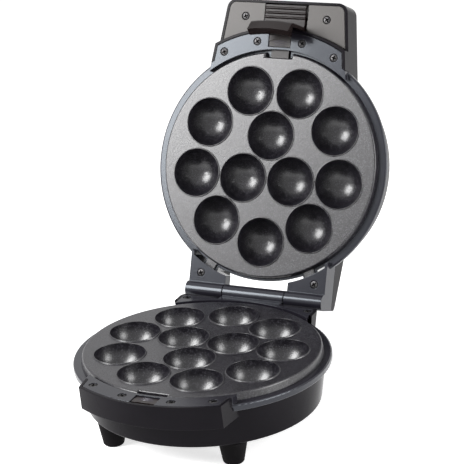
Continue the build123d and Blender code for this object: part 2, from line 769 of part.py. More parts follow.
with BuildPart() as round_body:
    add(
        turned(
            [
                (0, height(BASE, shell_edge)),
                (shell_top_radius, height(BASE, shell_edge)),
                (shell_bottom_radius, height(BASE, base_depth)),
                (0, height(BASE, base_depth)),
            ]
        )
    )
with BuildPart() as pod_room:
    add(pod(block_wall, 0, floor_top))
    add(round_body.part, mode=Mode.SUBTRACT)
with BuildSketch() as hinge_boss_outline:
    with Locations(*base_hinge_screw_places()):
        Circle(boss_radius)
        Rectangle(block_wall, hinge_boss_web, align=(Align.CENTER, Align.MAX))
with BuildPart() as base_shell:
    add(round_body.part)
    fillet(base_shell.edges().sort_by(Axis.Z)[0], shell_corner)
    add(front_band(BASE, ledge_radius, block_radius, tab_drop, block_depth, 0, draft))
    add(pod(0, tab_drop, base_depth))
    # hollows
    inner_slope = (shell_top_radius - shell_bottom_radius) * (floor_top - shell_edge) / (base_depth - shell_edge)
    add(
        turned(
            [
                (0, height(BASE, 0)),
                (shell_top_radius - base_wall, height(BASE, 0)),
                (shell_top_radius - base_wall, height(BASE, shell_edge)),
                (shell_top_radius - base_wall - inner_slope, height(BASE, floor_top)),
                (0, height(BASE, floor_top)),
            ]
        ),
        mode=Mode.SUBTRACT,
    )
    block_floor = block_depth - block_wall
    add(
        front_band(BASE, shell_top_radius, block_inner_radius, 0, block_floor, block_wall, draft),
        mode=Mode.SUBTRACT,
    )
    add(pod_room.part, mode=Mode.SUBTRACT)
    # the hinge web passes over the back wall
    with BuildSketch(level(BASE, 0)):
        with Locations((0, pod_floor_back - block_wall)):
            Rectangle(2 * (base_barrel_half + fit_gap), reach, align=(Align.CENTER, Align.MIN))
    extrude(amount=-tab_drop - web_thickness - fit_gap, mode=Mode.SUBTRACT)
    # screw bosses
    add(round_holes(tab_screw_places(), BASE, tab_bottom, block_floor, boss_radius))
    add(slab(BASE, tab_bottom, tab_bottom + hinge_boss_length, hinge_boss_outline.sketch))
    add(round_holes(pan_screw_places(), BASE, pan_floor_drop + base_pan_sheet, floor_top, boss_radius))
    add(round_holes(foot_places(), BASE, floor_top - foot_boss_height, floor_top, boss_radius))
    # room for the bezel
    with BuildSketch(level(BASE, shell_edge)):
        Circle(block_clear_radius)
    extrude(amount=shell_edge, mode=Mode.SUBTRACT)
    # screw holes
    tab_hole_end = tab_drop + screw_head_height + screw_length + fit_gap
    add(round_holes(tab_screw_places(), BASE, tab_bottom, tab_hole_end, shank_hole), mode=Mode.SUBTRACT)
    places = base_hinge_screw_places()
    add(round_holes(places, BASE, tab_bottom, tab_hole_end, shank_hole), mode=Mode.SUBTRACT)
    pan_hole_end = pan_floor_drop + pan_screw_length + fit_gap
    add(round_holes(pan_screw_places(), BASE, pan_floor_drop, pan_hole_end, shank_hole), mode=Mode.SUBTRACT)
    foot_hole_start = floor_top - foot_boss_height
    add(round_holes(foot_places(), BASE, foot_hole_start, base_depth, shank_hole), mode=Mode.SUBTRACT)
    # cord inlet in the back wall, with a flat pad for its grommet
    with BuildSketch(Plane.XZ.offset(-gland_pad_back)):
        with Locations((0, gland_height)):
            Circle(gland_pad_radius)
    extrude(amount=pod_back - pod_floor_back)
    with BuildSketch(Plane.XZ.offset(-pod_front)):
        with Locations((0, gland_height)):
            Circle(gland_body_radius + hole_clearance)
    extrude(amount=-pod_back, mode=Mode.SUBTRACT)
    # vents in the floor
    with BuildSketch(level(BASE, base_depth)):
        with GridLocations(0, vent_pitch, 1, vent_count):
            SlotOverall(vent_length, vent_width)
    extrude(amount=base_wall, mode=Mode.SUBTRACT)
    # stops that the lid's lugs come to rest on
    swing = radians(-open_angle)
    stop_radius = barrel_radius + stop_gap

    def stop_point(along):
        """Point on the stop face, at a distance along it from the hinge."""
        across = stop_radius * cos(swing) - along * sin(swing)
        up = stop_radius * sin(swing) + along * cos(swing)
        return (hinge_y + across, parting_z + up)

    stop_top = stop_point(-stop_start)
    stop_tip = stop_point(stop_reach)
    for hand in (-1, 1):
        with BuildSketch(Plane.YZ.offset(hand * stop_x - stop_width / 2)):
            with BuildLine():
                Polyline(
                    (pod_back - block_wall, stop_top[1]),
                    stop_top,
                    stop_tip,
                    (pod_back - block_wall, stop_top[1] - stop_height),
                    close=True,
                )
            make_face()
        extrude(amount=stop_width)
save(base_shell, "base_shell")


# ------------------------------------------------------------------ lid shell
def handle_outline(inset):
    """Plan of the handle block, with its edges moved in by an inset."""
    with BuildSketch() as outline:
        add(front_outline(inset))
        fillet(outline.vertices().group_by(Axis.Y)[0], handle_corner - inset)
        Circle(shell_top_radius - lid_wall, mode=Mode.SUBTRACT)
    return outline.sketch


def domed(radius_low, radius_high, low, shoulder, crown, corner):
    """Domed round body between the parting side and the crown of the lid."""
    rise = crown - shoulder
    crown_radius = (radius_high**2 + rise**2) / (2 * rise)
    half_angle = asin(radius_high / crown_radius) / 2
    middle_drop = crown - crown_radius * (1 - cos(half_angle))
    with BuildPart() as body:
        with BuildSketch(Plane.XZ) as section:
            with BuildLine():
                Polyline(
                    (0, height(LID, crown)),
                    (0, height(LID, low)),
                    (radius_low, height(LID, low)),
                    (radius_high, height(LID, shoulder)),
                )
                ThreePointArc(
                    (radius_high, height(LID, shoulder)),
                    (crown_radius * sin(half_angle), height(LID, middle_drop)),
                    (0, height(LID, crown)),
                )
            make_face()
            fillet(section.vertices().sort_by_distance((radius_high, height(LID, shoulder)))[0], corner)
        revolve(axis=Axis.Z)
    return body.part


lid_shoulder = lid_height - lid_crown
lid_dome = domed(shell_top_radius, lid_top_radius, shell_edge, lid_shoulder, lid_height, lid_corner)
lid_room = domed(
    shell_top_radius - lid_wall,
    lid_top_radius - lid_wall,
    0,
    lid_shoulder - lid_wall,
    lid_height - lid_wall,
    lid_corner - lid_wall,
)
with BuildPart() as handle_room:
    add(slab(LID, 0, handle_ceiling, handle_outline(block_wall)))
    add(lid_dome, mode=Mode.SUBTRACT)
    with BuildSketch(level(LID, 0)):
        Circle(block_radius)
        Circle(block_inner_radius, mode=Mode.SUBTRACT)
    extrude(amount=handle_ceiling, mode=Mode.SUBTRACT)
with BuildPart() as lug_covers:
    add(slab(LID, lug_cover_start, lug_root_depth, lug_outline(lug_deep_x, 0)))
    add(slab(LID, lug_cover_start, lug_root_depth, lug_tie_outline(lid_top_radius - lid_wall)))
    add(lug_slope(0), mode=Mode.INTERSECT)
with BuildPart() as lug_room:
    add(slab(LID, lug_cover_start, lug_root_depth, lug_outline(lug_deep_x, block_wall)))
    add(lug_slope(block_wall), mode=Mode.INTERSECT)
with BuildPart() as hinge_bosses:
    add(round_holes(lid_hinge_screw_places(), LID, tab_bottom, lug_root_depth, boss_radius))
    add(lug_slope(block_wall / 2), mode=Mode.INTERSECT)
with BuildPart() as lid_shell:
    add(lid_dome)
    # front block and handle
    add(slab(LID, handle_face, handle_top, handle_outline(0)))
    top_z = height(LID, handle_top)
    top_edges = lid_shell.edges().filter_by_position(Axis.Z, top_z, top_z)
    fillet(top_edges.filter_by(lambda e: e.center().Y < -shell_top_radius), handle_top_fillet)
    add(front_band(LID, ledge_radius, block_radius, tab_drop, handle_face + block_wall, 0, 0))
    add(handle_room.part, mode=Mode.SUBTRACT)
    # hinge lug covers
    add(lug_covers.part)
    add(lug_room.part, mode=Mode.SUBTRACT)
    add(lid_room, mode=Mode.SUBTRACT)
    add(hinge_bosses.part)
    add(round_holes(tab_screw_places(), LID, tab_bottom, handle_ceiling + block_wall / 2, boss_radius))
    add(round_holes(cover_screw_places(), LID, cover_back, handle_ceiling + block_wall / 2, boss_radius))
    pan_boss_end = lid_height - lid_wall / 2 - lid_crown * (pan_screw_radius / lid_top_radius) ** 2
    add(round_holes(pan_screw_places(), LID, pan_floor_drop + lid_pan_sheet, pan_boss_end, boss_radius))
    with BuildSketch(level(LID, shell_edge)):
        Circle(block_clear_radius)
        Rectangle(reach, reach, align=(Align.CENTER, Align.MAX), mode=Mode.INTERSECT)
    extrude(amount=-shell_edge, mode=Mode.SUBTRACT)
    tab_hole_end = tab_drop + screw_head_height + screw_length + fit_gap
    add(round_holes(tab_screw_places(), LID, tab_bottom, tab_hole_end, shank_hole), mode=Mode.SUBTRACT)
    add(round_holes(lid_hinge_screw_places(), LID, tab_bottom, tab_hole_end, shank_hole), mode=Mode.SUBTRACT)
    cover_hole_end = handle_face + screw_head_height + screw_length + fit_gap
    add(round_holes(cover_screw_places(), LID, cover_back, cover_hole_end, shank_hole), mode=Mode.SUBTRACT)
    pan_hole_end = pan_floor_drop + pan_screw_length + fit_gap
    add(round_holes(pan_screw_places(), LID, pan_floor_drop, pan_hole_end, shank_hole), mode=Mode.SUBTRACT)
    # seats and holes of the two lamps
    lens_seat = lid_shoulder + lid_crown / 4 - lens_flange / 4
    lens_places = [(-lens_x, lens_y), (lens_x, lens_y)]
    lens_pocket = lens_flange_radius + fit_gap
    lens_hole = lens_radius + hole_clearance
    add(round_holes(lens_places, LID, lens_seat, lid_height, lens_pocket), mode=Mode.SUBTRACT)
    add(round_holes(lens_places, LID, lid_ceiling - lid_wall, lid_height, lens_hole), mode=Mode.SUBTRACT)
save_lid(lid_shell, "lid_shell")

with BuildPart() as indicator_lenses:
    with BuildSketch(level(LID, lens_seat)):
        with Locations(*lens_places):
            Circle(lens_flange_radius)
    extrude(amount=lens_flange)
    fillet(indicator_lenses.edges().group_by(Axis.Z)[-1], lens_fillet)
    with BuildSketch(level(LID, lens_seat)):
        with Locations(*lens_places):
            Circle(lens_radius)
    extrude(amount=-lens_depth)
save_lid(indicator_lenses, "indicator_lenses")

# -------------------------------------------------------------- handle cover
# Inner face of the handle, with a well in its middle that holds the latch.
with BuildSketch() as well_outline:
    with Locations((0, fit_gap + block_wall - handle_reach)):
        Rectangle(
            2 * (latch_well_half_width + latch_well_wall),
            handle_reach - block_wall - block_radius,
            align=(Align.CENTER, Align.MIN),
        )
    Circle(block_radius + fit_gap, mode=Mode.SUBTRACT)
with BuildSketch() as well_room_outline:
    with Locations((0, -handle_reach)):
        Rectangle(
            2 * latch_well_half_width,
            handle_reach - block_radius + block_wall,
            align=(Align.CENTER, Align.MIN),
        )
with BuildPart() as handle_cover:
    add(slab(LID, handle_face, cover_back, handle_outline(block_wall + fit_gap)))
    add(slab(LID, handle_face, well_ceiling + latch_well_wall, well_outline.sketch))
    with BuildSketch(level(LID, 0)):
        Circle(block_radius + fit_gap)
    extrude(amount=handle_top, mode=Mode.SUBTRACT)
    add(slab(LID, 0, well_ceiling, well_room_outline.sketch), mode=Mode.SUBTRACT)
    with BuildSketch(Plane.YZ.offset(-latch_well_half_width - latch_well_wall)):
        with Locations((latch_pivot_y, height(LID, latch_pivot_rise))):
            Circle(latch_pin_radius + press_clearance)
    extrude(amount=2 * (latch_well_half_width + latch_well_wall), mode=Mode.SUBTRACT)
    add(round_holes(cover_screw_places(), LID, 0, cover_back, shank_hole), mode=Mode.SUBTRACT)
    pocket_floor = handle_face + screw_head_height
    add(round_holes(cover_screw_places(), LID, 0, pocket_floor, head_pocket), mode=Mode.SUBTRACT)
save_lid(handle_cover, "handle_cover")

with BuildPart() as latch_pin:
    with BuildSketch(Plane.YZ.offset(-latch_well_half_width - latch_well_wall)):
        with Locations((latch_pivot_y, height(LID, latch_pivot_rise))):
            Circle(latch_pin_radius)
    extrude(amount=2 * (latch_well_half_width + latch_well_wall))
save_lid(latch_pin, "latch_pin")

# ---------------------------------------------------------------------- latch
# Ribbed grip on a pivot, with a curved wall that hangs outside the base's
# block and hooks under it with a nose.
block_foot_radius = block_radius - (block_depth - tab_drop) * tan(radians(draft))
hook_inner = block_radius + latch_clearance
hook_outer = hook_inner + latch_wall
nose_radius = block_foot_radius - latch_catch
nose_top = block_depth + latch_nose_gap
grip_back = latch_grip_face + latch_grip_thickness
with BuildPart() as latch:
    with BuildSketch(Plane.XZ) as hook_section:
        with BuildLine():
            Polyline(
                (hook_inner, height(LID, grip_back)),
                (hook_inner, height(BASE, nose_top)),
                (nose_radius, height(BASE, nose_top)),
                (nose_radius, height(BASE, nose_top + latch_nose_height)),
                (latch_tip_radius, height(BASE, latch_hook_drop)),
                (hook_outer, height(BASE, latch_bend_drop)),
                (hook_outer, height(LID, grip_back)),
                close=True,
            )
        make_face()
        bend = hook_section.vertices().sort_by_distance((hook_outer, height(BASE, latch_bend_drop)))[0]
        fillet(bend, latch_bend_radius)
    revolve(axis=Axis.Z)
    with Locations((0, -reach / 2, parting_z)):
        Box(2 * latch_half_width, reach, reach, mode=Mode.INTERSECT)
    with BuildSketch(Plane.YZ.offset(-latch_half_width)):
        with Locations((-hook_outer + latch_wall / 2, height(LID, latch_grip_face))):
            Rectangle(
                latch_grip_end - hook_outer + latch_wall / 2, latch_grip_thickness, align=(Align.MAX, Align.MIN)
            )
        with Locations((latch_pivot_y, height(LID, latch_pivot_rise))):
            Circle(latch_root_radius)
            Rectangle(2 * latch_root_radius, latch_pivot_rise - latch_grip_face, align=(Align.CENTER, Align.MAX))
        with Locations((-latch_rib_start, height(LID, latch_grip_face))):
            with GridLocations(latch_rib_pitch, 0, latch_rib_count, 1, align=(Align.MAX, Align.CENTER)):
                Circle(latch_rib_radius)
    extrude(amount=2 * latch_half_width)
    with BuildSketch(Plane.YZ.offset(-latch_half_width)):
        with Locations((latch_pivot_y, height(LID, latch_pivot_rise))):
            Circle(pivot_bore)
    extrude(amount=2 * latch_half_width, mode=Mode.SUBTRACT)
    # room for the spring in the middle of the pivot
    with Locations((0, latch_pivot_y, height(LID, grip_back))):
        Box(
            2 * spring_space_half_width,
            4 * latch_root_radius,
            latch_pivot_rise,
            align=(Align.CENTER, Align.CENTER, Align.MIN),
            mode=Mode.SUBTRACT,
        )
save_lid(latch, "latch")

# Torsion spring round the latch pin: closed coils, with one leg on the back of
# the grip and the other up toward the roof of the well.
spring_radius = latch_pin_radius + pin_clearance + spring_wire
spring_leg_x = spring_wire * (spring_coils - 1)
pivot_z = height(LID, latch_pivot_rise)


def spring_leg_ends(x, outward, rise, side):
    """Where a leg leaves its coil on a tangent, and its tip."""
    leaving = atan2(rise, -outward) + side * acos(spring_radius / hypot(outward, rise))
    start = Vector(x, latch_pivot_y + spring_radius * cos(leaving), pivot_z + spring_radius * sin(leaving))
    tip = Vector(x, latch_pivot_y - outward, pivot_z + rise)
    return start, tip


grip_leg_drop = latch_pivot_rise - grip_back - spring_wire - seat_gap
with BuildPart() as latch_spring:
    with BuildSketch(Plane.YZ.offset(-spring_wire * spring_coils)):
        with Locations((latch_pivot_y, pivot_z)):
            Circle(spring_radius + spring_wire)
            Circle(spring_radius - spring_wire, mode=Mode.SUBTRACT)
    extrude(amount=2 * spring_wire * spring_coils)
    for start, tip in (
        spring_leg_ends(-spring_leg_x, spring_grip_leg, -grip_leg_drop, 1),
        spring_leg_ends(spring_leg_x, spring_roof_leg, spring_roof_rise, -1),
    ):
        with BuildSketch(Plane(tip, z_dir=start - tip)):
            Circle(spring_wire - hole_clearance)
        extrude(amount=(start - tip).length)
save_lid(latch_spring, "latch_spring")


# ------------------------------------------------------ plate release catches
def release_catch():
    """Push plate with a finger rest, a flange under the tab and a tongue."""
    with BuildPart() as catch:
        with BuildSketch(level(BASE, release_drop)):
            with Locations((0, -release_inner)):
                Rectangle(2 * release_half_width, release_length, align=(Align.CENTER, Align.MAX))
        extrude(amount=release_drop - release_step - release_flange)
        with BuildSketch(level(BASE, release_drop)):
            with Locations((0, release_arc_edge + release_arc_radius - release_inner - release_length)):
                Circle(release_arc_radius)
        extrude(amount=-release_recess, mode=Mode.SUBTRACT)
        with BuildSketch(level(BASE, release_step)):
            with Locations((0, -release_inner)):
                Rectangle(
                    2 * (release_half_width + release_flange_lip),
                    release_length,
                    align=(Align.CENTER, Align.MAX),
                )
        extrude(amount=-release_flange)
        with BuildSketch(level(BASE, release_tongue_drop)):
            with Locations((0, -release_tongue_tip)):
                Rectangle(
                    2 * release_tongue_half_width,
                    release_inner + release_length / 2 - release_tongue_tip,
                    align=(Align.CENTER, Align.MAX),
                )
        extrude(amount=-release_tongue_thickness)
    return catch


lower_plate_release = release_catch()
save(lower_plate_release, "lower_plate_release")

with BuildPart() as upper_plate_release:
    mirror(lower_plate_release.part, about=parting_plane)
save_lid(upper_plate_release, "upper_plate_release")


# -------------------------------------------------------------------- heating
def heating_element():
    """Ring of tube with its two ends bent down, each ending in a pin."""
    centre_z = height(BASE, element_drop)
    half_gap = element_gap / 2
    with BuildPart() as element:
        with BuildLine() as path:
            ring = CenterArc(
                (0, 0, centre_z), element_radius, element_gap_centre + half_gap, 360 - element_gap
            )
            for end, along in ((ring @ 1, ring % 1), (ring @ 0, -(ring % 0))):
                quarter = element_bend * sin(radians(45))
                down = Vector(0, 0, -1)
                middle = end + along * quarter + down * (element_bend - quarter)
                turn_end = end + along * element_bend + down * element_bend
                ThreePointArc(end, middle, turn_end)
                Line(turn_end, turn_end + down * (element_end_drop - element_drop - element_bend))
        wire = path.wires()[0]
        with BuildSketch(Plane(origin=wire @ 0, z_dir=wire % 0)):
            Circle(element_tube_radius)
        sweep(path=wire)
        with BuildSketch(level(BASE, element_end_drop)):
            with Locations(wire @ 0, wire @ 1):
                Circle(element_pin_radius)
        extrude(amount=element_end_drop - element_pin_drop)
    return element, wire @ 0, wire @ 1


lower_heating_element, element_end_a, element_end_b = heating_element()
save(lower_heating_element, "lower_heating_element")

with BuildPart() as upper_heating_element:
    mirror(lower_heating_element.part, about=parting_plane)
save_lid(upper_heating_element, "upper_heating_element")


def reflector(sheet):
    """Thin pan under the heater, hung by its flange and screwed to the floor."""
    slope = (pan_wall_radius - pan_floor_radius) / (pan_floor_drop - ledge_bottom)
    with BuildPart() as pan:
        add(
            turned(
                [
                    (0, height(BASE, pan_floor_drop)),
                    (pan_floor_radius, height(BASE, pan_floor_drop)),
                    (pan_wall_radius, height(BASE, ledge_bottom)),
                    (pan_flange_radius, height(BASE, ledge_bottom)),
                    (pan_flange_radius, height(BASE, ledge_bottom + sheet)),
                    (pan_wall_radius + sheet - slope * sheet, height(BASE, ledge_bottom + sheet)),
                    (pan_floor_radius + sheet, height(BASE, pan_floor_drop + sheet)),
                    (0, height(BASE, pan_floor_drop + sheet)),
                ]
            )
        )
        with BuildSketch(level(BASE, pan_floor_drop)):
            with Locations((element_end_a.X, element_end_a.Y), (element_end_b.X, element_end_b.Y)):
                Circle(element_tube_radius + fit_gap)
            with Locations(*pan_screw_places()):
                Circle(shank_hole)
        extrude(amount=-sheet, mode=Mode.SUBTRACT)
    return pan


lower_reflector = reflector(base_pan_sheet)
save(lower_reflector, "lower_reflector")

with BuildPart() as upper_reflector:
    mirror(reflector(lid_pan_sheet).part, about=parting_plane)
save_lid(upper_reflector, "upper_reflector")


def element_clips():
    """Three sheet saddles that strap the heater to the pan."""
    tube = element_tube_radius + clip_gap
    over = tube + clip_sheet
    foot = over + clip_foot
    pan_level = pan_floor_drop - element_drop
    with BuildSketch() as section:
        with BuildLine():
            Polyline((-over, 0), (-over, clip_sheet - pan_level), (-foot, clip_sheet - pan_level), (-foot, -pan_level))
            Polyline((-foot, -pan_level), (-tube, -pan_level), (-tube, 0))
            ThreePointArc((-tube, 0), (0, tube), (tube, 0))
            Polyline((tube, 0), (tube, -pan_level), (foot, -pan_level), (foot, clip_sheet - pan_level))
            Polyline((foot, clip_sheet - pan_level), (over, clip_sheet - pan_level), (over, 0))
            ThreePointArc((over, 0), (0, over), (-over, 0))
        make_face()
    with BuildPart() as clips:
        for number in range(clip_count):
            angle = radians(clip_start + number * 360 / clip_count)
            outward = (cos(angle), sin(angle), 0)
            across = (sin(angle), -cos(angle), 0)
            centre = (element_radius * cos(angle), element_radius * sin(angle), height(BASE, element_drop))
            with BuildSketch(Plane(origin=centre, x_dir=outward, z_dir=across)):
                add(section.sketch)
            extrude(amount=clip_width / 2, both=True)
    return clips


lower_element_clips = element_clips()
save(lower_element_clips, "lower_element_clips")

with BuildPart() as upper_element_clips:
    mirror(lower_element_clips.part, about=parting_plane)
save_lid(upper_element_clips, "upper_element_clips")

# --------------------------------------------------------------------- screws
tab_seat = tab_drop + screw_head_height
save(screws(tab_screw_places(), tab_seat, BASE, screw_length, True), "base_tab_screws")
save(screws(base_hinge_screw_places(), tab_seat, BASE, screw_length, True), "base_hinge_screws")
save(screws(pan_screw_places(), pan_floor_drop, BASE, pan_screw_length, False), "lower_pan_screws")
save_lid(screws(tab_screw_places(), tab_seat, LID, screw_length, True), "lid_tab_screws")
save_lid(screws(lid_hinge_screw_places(), tab_seat, LID, screw_length, True), "lid_hinge_screws")
cover_screw_seat = handle_face + screw_head_height
save_lid(screws(cover_screw_places(), cover_screw_seat, LID, screw_length, True), "handle_cover_screws")
save_lid(screws(pan_screw_places(), pan_floor_drop, LID, pan_screw_length, False), "upper_pan_screws")

# ----------------------------------------------------------------------- feet
with BuildPart() as rubber_feet:
    with Locations(*foot_places()):
        Cone(foot_bottom_radius, foot_top_radius, foot_height, align=(Align.CENTER, Align.CENTER, Align.MIN))
    fillet(rubber_feet.edges().group_by(Axis.Z)[0], foot_bottom_fillet)
    with BuildSketch():
        with Locations(*foot_places()):
            Circle(foot_bore_radius)
    extrude(amount=foot_bore_depth, mode=Mode.SUBTRACT)
    with BuildSketch():
        with Locations(*foot_places()):
            Circle(shank_hole)
    extrude(amount=foot_height, mode=Mode.SUBTRACT)
save(rubber_feet, "rubber_feet")

with BuildPart() as foot_screws:
    with Locations(Plane.XY.offset(foot_bore_depth)):
        with Locations(*foot_places()):
            add(screw(foot_screw_length, False), rotation=(180, 0, 0))
save(foot_screws, "foot_screws")

with BuildPart() as cord_gland:
    with BuildSketch(Plane.XZ.offset(-gland_pad_back - gland_flange)):
        with Locations((0, gland_height)):
            Circle(gland_flange_radius)
    extrude(amount=gland_flange)
    with BuildSketch(Plane.XZ.offset(-gland_pad_back)):
        with Locations((0, gland_height)):
            Circle(gland_body_radius)
    extrude(amount=gland_depth)
    with BuildSketch(Plane.XZ.offset(-gland_pad_back - gland_flange)):
        with Locations((0, gland_height)):
            Circle(gland_bore_radius)
    extrude(amount=gland_flange + gland_depth, mode=Mode.SUBTRACT)
save(cord_gland, "cord_gland")

# ------------------------------------------------------------ inside the base
pan_underside = pan_floor_drop + base_pan_sheet
with BuildPart() as thermostat:
    with BuildSketch(level(BASE, pan_underside)):
        Rectangle(thermostat_flange_length, thermostat_flange_width)
    extrude(amount=-thermostat_flange_thickness)
    with BuildSketch(level(BASE, pan_underside)):
        Circle(thermostat_radius)
    extrude(amount=-thermostat_height)
    with BuildSketch(level(BASE, pan_underside + thermostat_height)):
        with GridLocations(0, 2 * blade_spacing, 1, 2):
            Rectangle(blade_width, blade_thickness)
    extrude(amount=-blade_length)
save(thermostat, "thermostat")

with BuildPart() as thermal_fuse:
    with BuildSketch(Plane.XZ.offset(-fuse_length / 2)):
        with Locations((fuse_x, height(BASE, pan_underside + fuse_radius))):
            Circle(fuse_radius)
    extrude(amount=fuse_length)
    with BuildSketch(Plane.XZ.offset(-fuse_length / 2 - fuse_lead_length)):
        with Locations((fuse_x, height(BASE, pan_underside + fuse_radius))):
            Circle(fuse_lead_radius)
    extrude(amount=fuse_length + 2 * fuse_lead_length)
save(thermal_fuse, "thermal_fuse")

with BuildPart() as terminal_block:
    with Locations((0, terminal_y, height(BASE, floor_top))):
        Box(terminal_length, terminal_width, terminal_height, align=(Align.CENTER, Align.CENTER, Align.MIN))
    with BuildSketch(Plane.XZ.offset(terminal_width / 2 - terminal_y)):
        with Locations((0, height(BASE, floor_top) + terminal_height / 2)):
            with GridLocations(terminal_pitch, 0, 3, 1):
                Circle(terminal_bore)
    extrude(amount=-terminal_width, mode=Mode.SUBTRACT)
save(terminal_block, "terminal_block")
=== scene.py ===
"""Finishes, small hardware and studio for a cake pop maker, laid out as an add-on."""

import json
import math

import bmesh
import bpy
from mathutils import Matrix, Vector


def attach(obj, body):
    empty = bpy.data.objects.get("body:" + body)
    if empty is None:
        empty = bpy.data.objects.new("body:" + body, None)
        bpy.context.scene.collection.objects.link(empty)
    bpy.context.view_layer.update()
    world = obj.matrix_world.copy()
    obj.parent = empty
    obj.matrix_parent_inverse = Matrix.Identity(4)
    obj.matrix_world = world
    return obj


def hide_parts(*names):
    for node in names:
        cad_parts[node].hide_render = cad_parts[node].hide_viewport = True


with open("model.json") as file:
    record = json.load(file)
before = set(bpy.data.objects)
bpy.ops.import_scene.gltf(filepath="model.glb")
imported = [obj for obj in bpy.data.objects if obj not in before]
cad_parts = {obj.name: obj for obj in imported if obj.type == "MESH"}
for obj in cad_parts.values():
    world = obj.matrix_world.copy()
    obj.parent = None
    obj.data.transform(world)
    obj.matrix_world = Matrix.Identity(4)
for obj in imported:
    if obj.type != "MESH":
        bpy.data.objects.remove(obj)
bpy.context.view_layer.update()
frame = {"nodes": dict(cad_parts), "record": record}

bl_info = {
    "name": "Cake pop maker",
    "version": (1, 0, 0),
    "blender": (4, 5, 0),
    "location": "3D View > Sidebar > Cake pop",
    "description": "Dresses the cake pop maker's frame with its finishes and small hardware",
    "category": "Object",
}

UP = Vector((0, 0, 1))
LID_SWING = math.radians(111)
# the way that the cooking face of the open lid looks
LID_FACE = Vector((0, -math.sin(LID_SWING), -math.cos(LID_SWING)))
HINGE = Vector(next(
    joint["pos_m"] for joint in frame["record"]["behaviour"]["joints"] if joint["name"] == "lid_hinge"))
# takes a piece of the base to its twin on the open lid: mirrored in the parting plane, then swung open
TO_OPEN_LID = (
    Matrix.Translation(HINGE) @ Matrix.Rotation(-LID_SWING, 4, "X")
    @ Matrix.Scale(-1, 4, UP) @ Matrix.Translation(-HINGE))


# ------------------------------------------------------------------- settings
class StudioSettings(bpy.types.PropertyGroup):
    """Camera, floor and lamps."""

    camera_turn: bpy.props.FloatProperty(
        name="Camera turn", description="Round the object, from the handle's side toward its right",
        default=math.radians(23.72), subtype="ANGLE")
    camera_rise: bpy.props.FloatProperty(
        name="Camera rise", description="Above the horizon", default=math.radians(19.6), subtype="ANGLE")
    camera_roll: bpy.props.FloatProperty(
        name="Camera roll", description="Tilt of the frame", default=math.radians(-2.76), subtype="ANGLE")
    camera_distance: bpy.props.FloatProperty(
        name="Camera distance", description="From the aim point", default=1.5289, unit="LENGTH")
    camera_aim: bpy.props.FloatVectorProperty(
        name="Camera aim", description="Point in the middle of the frame",
        default=(0.03262, -0.0632, 0.17315), subtype="TRANSLATION", unit="LENGTH")
    lens: bpy.props.FloatProperty(
        name="Lens", description="Focal length on a 36 mm wide sensor, in millimetres",
        default=144.33, unit="CAMERA")
    floor_colour: bpy.props.FloatVectorProperty(
        name="Floor colour", description="Pale sweep under the object", default=(0.88, 0.88, 0.88),
        subtype="COLOR", size=3, min=0, max=1)
    floor_glow: bpy.props.FloatProperty(
        name="Floor glow", description="Whitens the floor where it is seen, without lighting the object",
        default=0.72, min=0, max=1)
    floor_radius: bpy.props.FloatProperty(
        name="Floor radius", description="Half the width of the floor", default=7.0, unit="LENGTH")
    room_colour: bpy.props.FloatVectorProperty(
        name="Room colour", description="Soft light from all round", default=(0.97, 0.98, 1.0),
        subtype="COLOR", size=3, min=0, max=1)
    room_light: bpy.props.FloatProperty(
        name="Room light", description="Strength of the light from all round", default=0.07, min=0)
    key_power: bpy.props.FloatProperty(
        name="Key power", description="Soft box in front, to the left", default=43.0, unit="POWER")
    side_power: bpy.props.FloatProperty(
        name="Side power", description="Soft box on the right", default=22.0, unit="POWER")
    top_power: bpy.props.FloatProperty(
        name="Top power", description="Large panel overhead", default=7.0, unit="POWER")


class FinishSettings(bpy.types.PropertyGroup):
    """Colours and gloss of the finishes."""

    gloss_colour: bpy.props.FloatVectorProperty(
        name="Housing", description="Glossy black housings", default=(0.005, 0.004, 0.006),
        subtype="COLOR", size=3)
    gloss_roughness: bpy.props.FloatProperty(
        name="Housing roughness", description="Of the glossy housings", default=0.13,
        min=0, max=1, subtype="FACTOR")
    satin_colour: bpy.props.FloatVectorProperty(
        name="Bezel", description="Satin black bezels", default=(0.01, 0.009, 0.013), subtype="COLOR", size=3)
    satin_roughness: bpy.props.FloatProperty(
        name="Bezel roughness", description="Of the satin bezels", default=0.16,
        min=0, max=1, subtype="FACTOR")
    cover_colour: bpy.props.FloatVectorProperty(
        name="Handle cover", description="Warm grey-black cover under the handle",
        default=(0.02, 0.0175, 0.016), subtype="COLOR", size=3)
    coat_colour: bpy.props.FloatVectorProperty(
        name="Non-stick coat", description="Ground colour of the coat", default=(0.004, 0.0033, 0.0056),
        subtype="COLOR", size=3)
    fleck_colour: bpy.props.FloatVectorProperty(
        name="Coat flecks", description="Mica flecks in the coat", default=(0.075, 0.072, 0.085),
        subtype="COLOR", size=3)
    coat_roughness: bpy.props.FloatProperty(
        name="Coat roughness", description="Of the non-stick coat", default=0.3,
        min=0, max=1, subtype="FACTOR")
    latch_colour: bpy.props.FloatVectorProperty(
        name="Latch", description="Glossy brown-black latch", default=(0.009, 0.0055, 0.0055),
        subtype="COLOR", size=3)
    rubber_colour: bpy.props.FloatVectorProperty(
        name="Rubber", description="Feet and cord grommet", default=(0.0035, 0.003, 0.0035),
        subtype="COLOR", size=3)
    lens_colour: bpy.props.FloatVectorProperty(
        name="Lamp lens", description="Lenses of the two lamps", default=(0.55, 0.03, 0.02),
        subtype="COLOR", size=3)
    edge_radius: bpy.props.FloatProperty(
        name="Edge radius", description="How far moulded edges look rounded", default=0.0006, unit="LENGTH",
        precision=5)


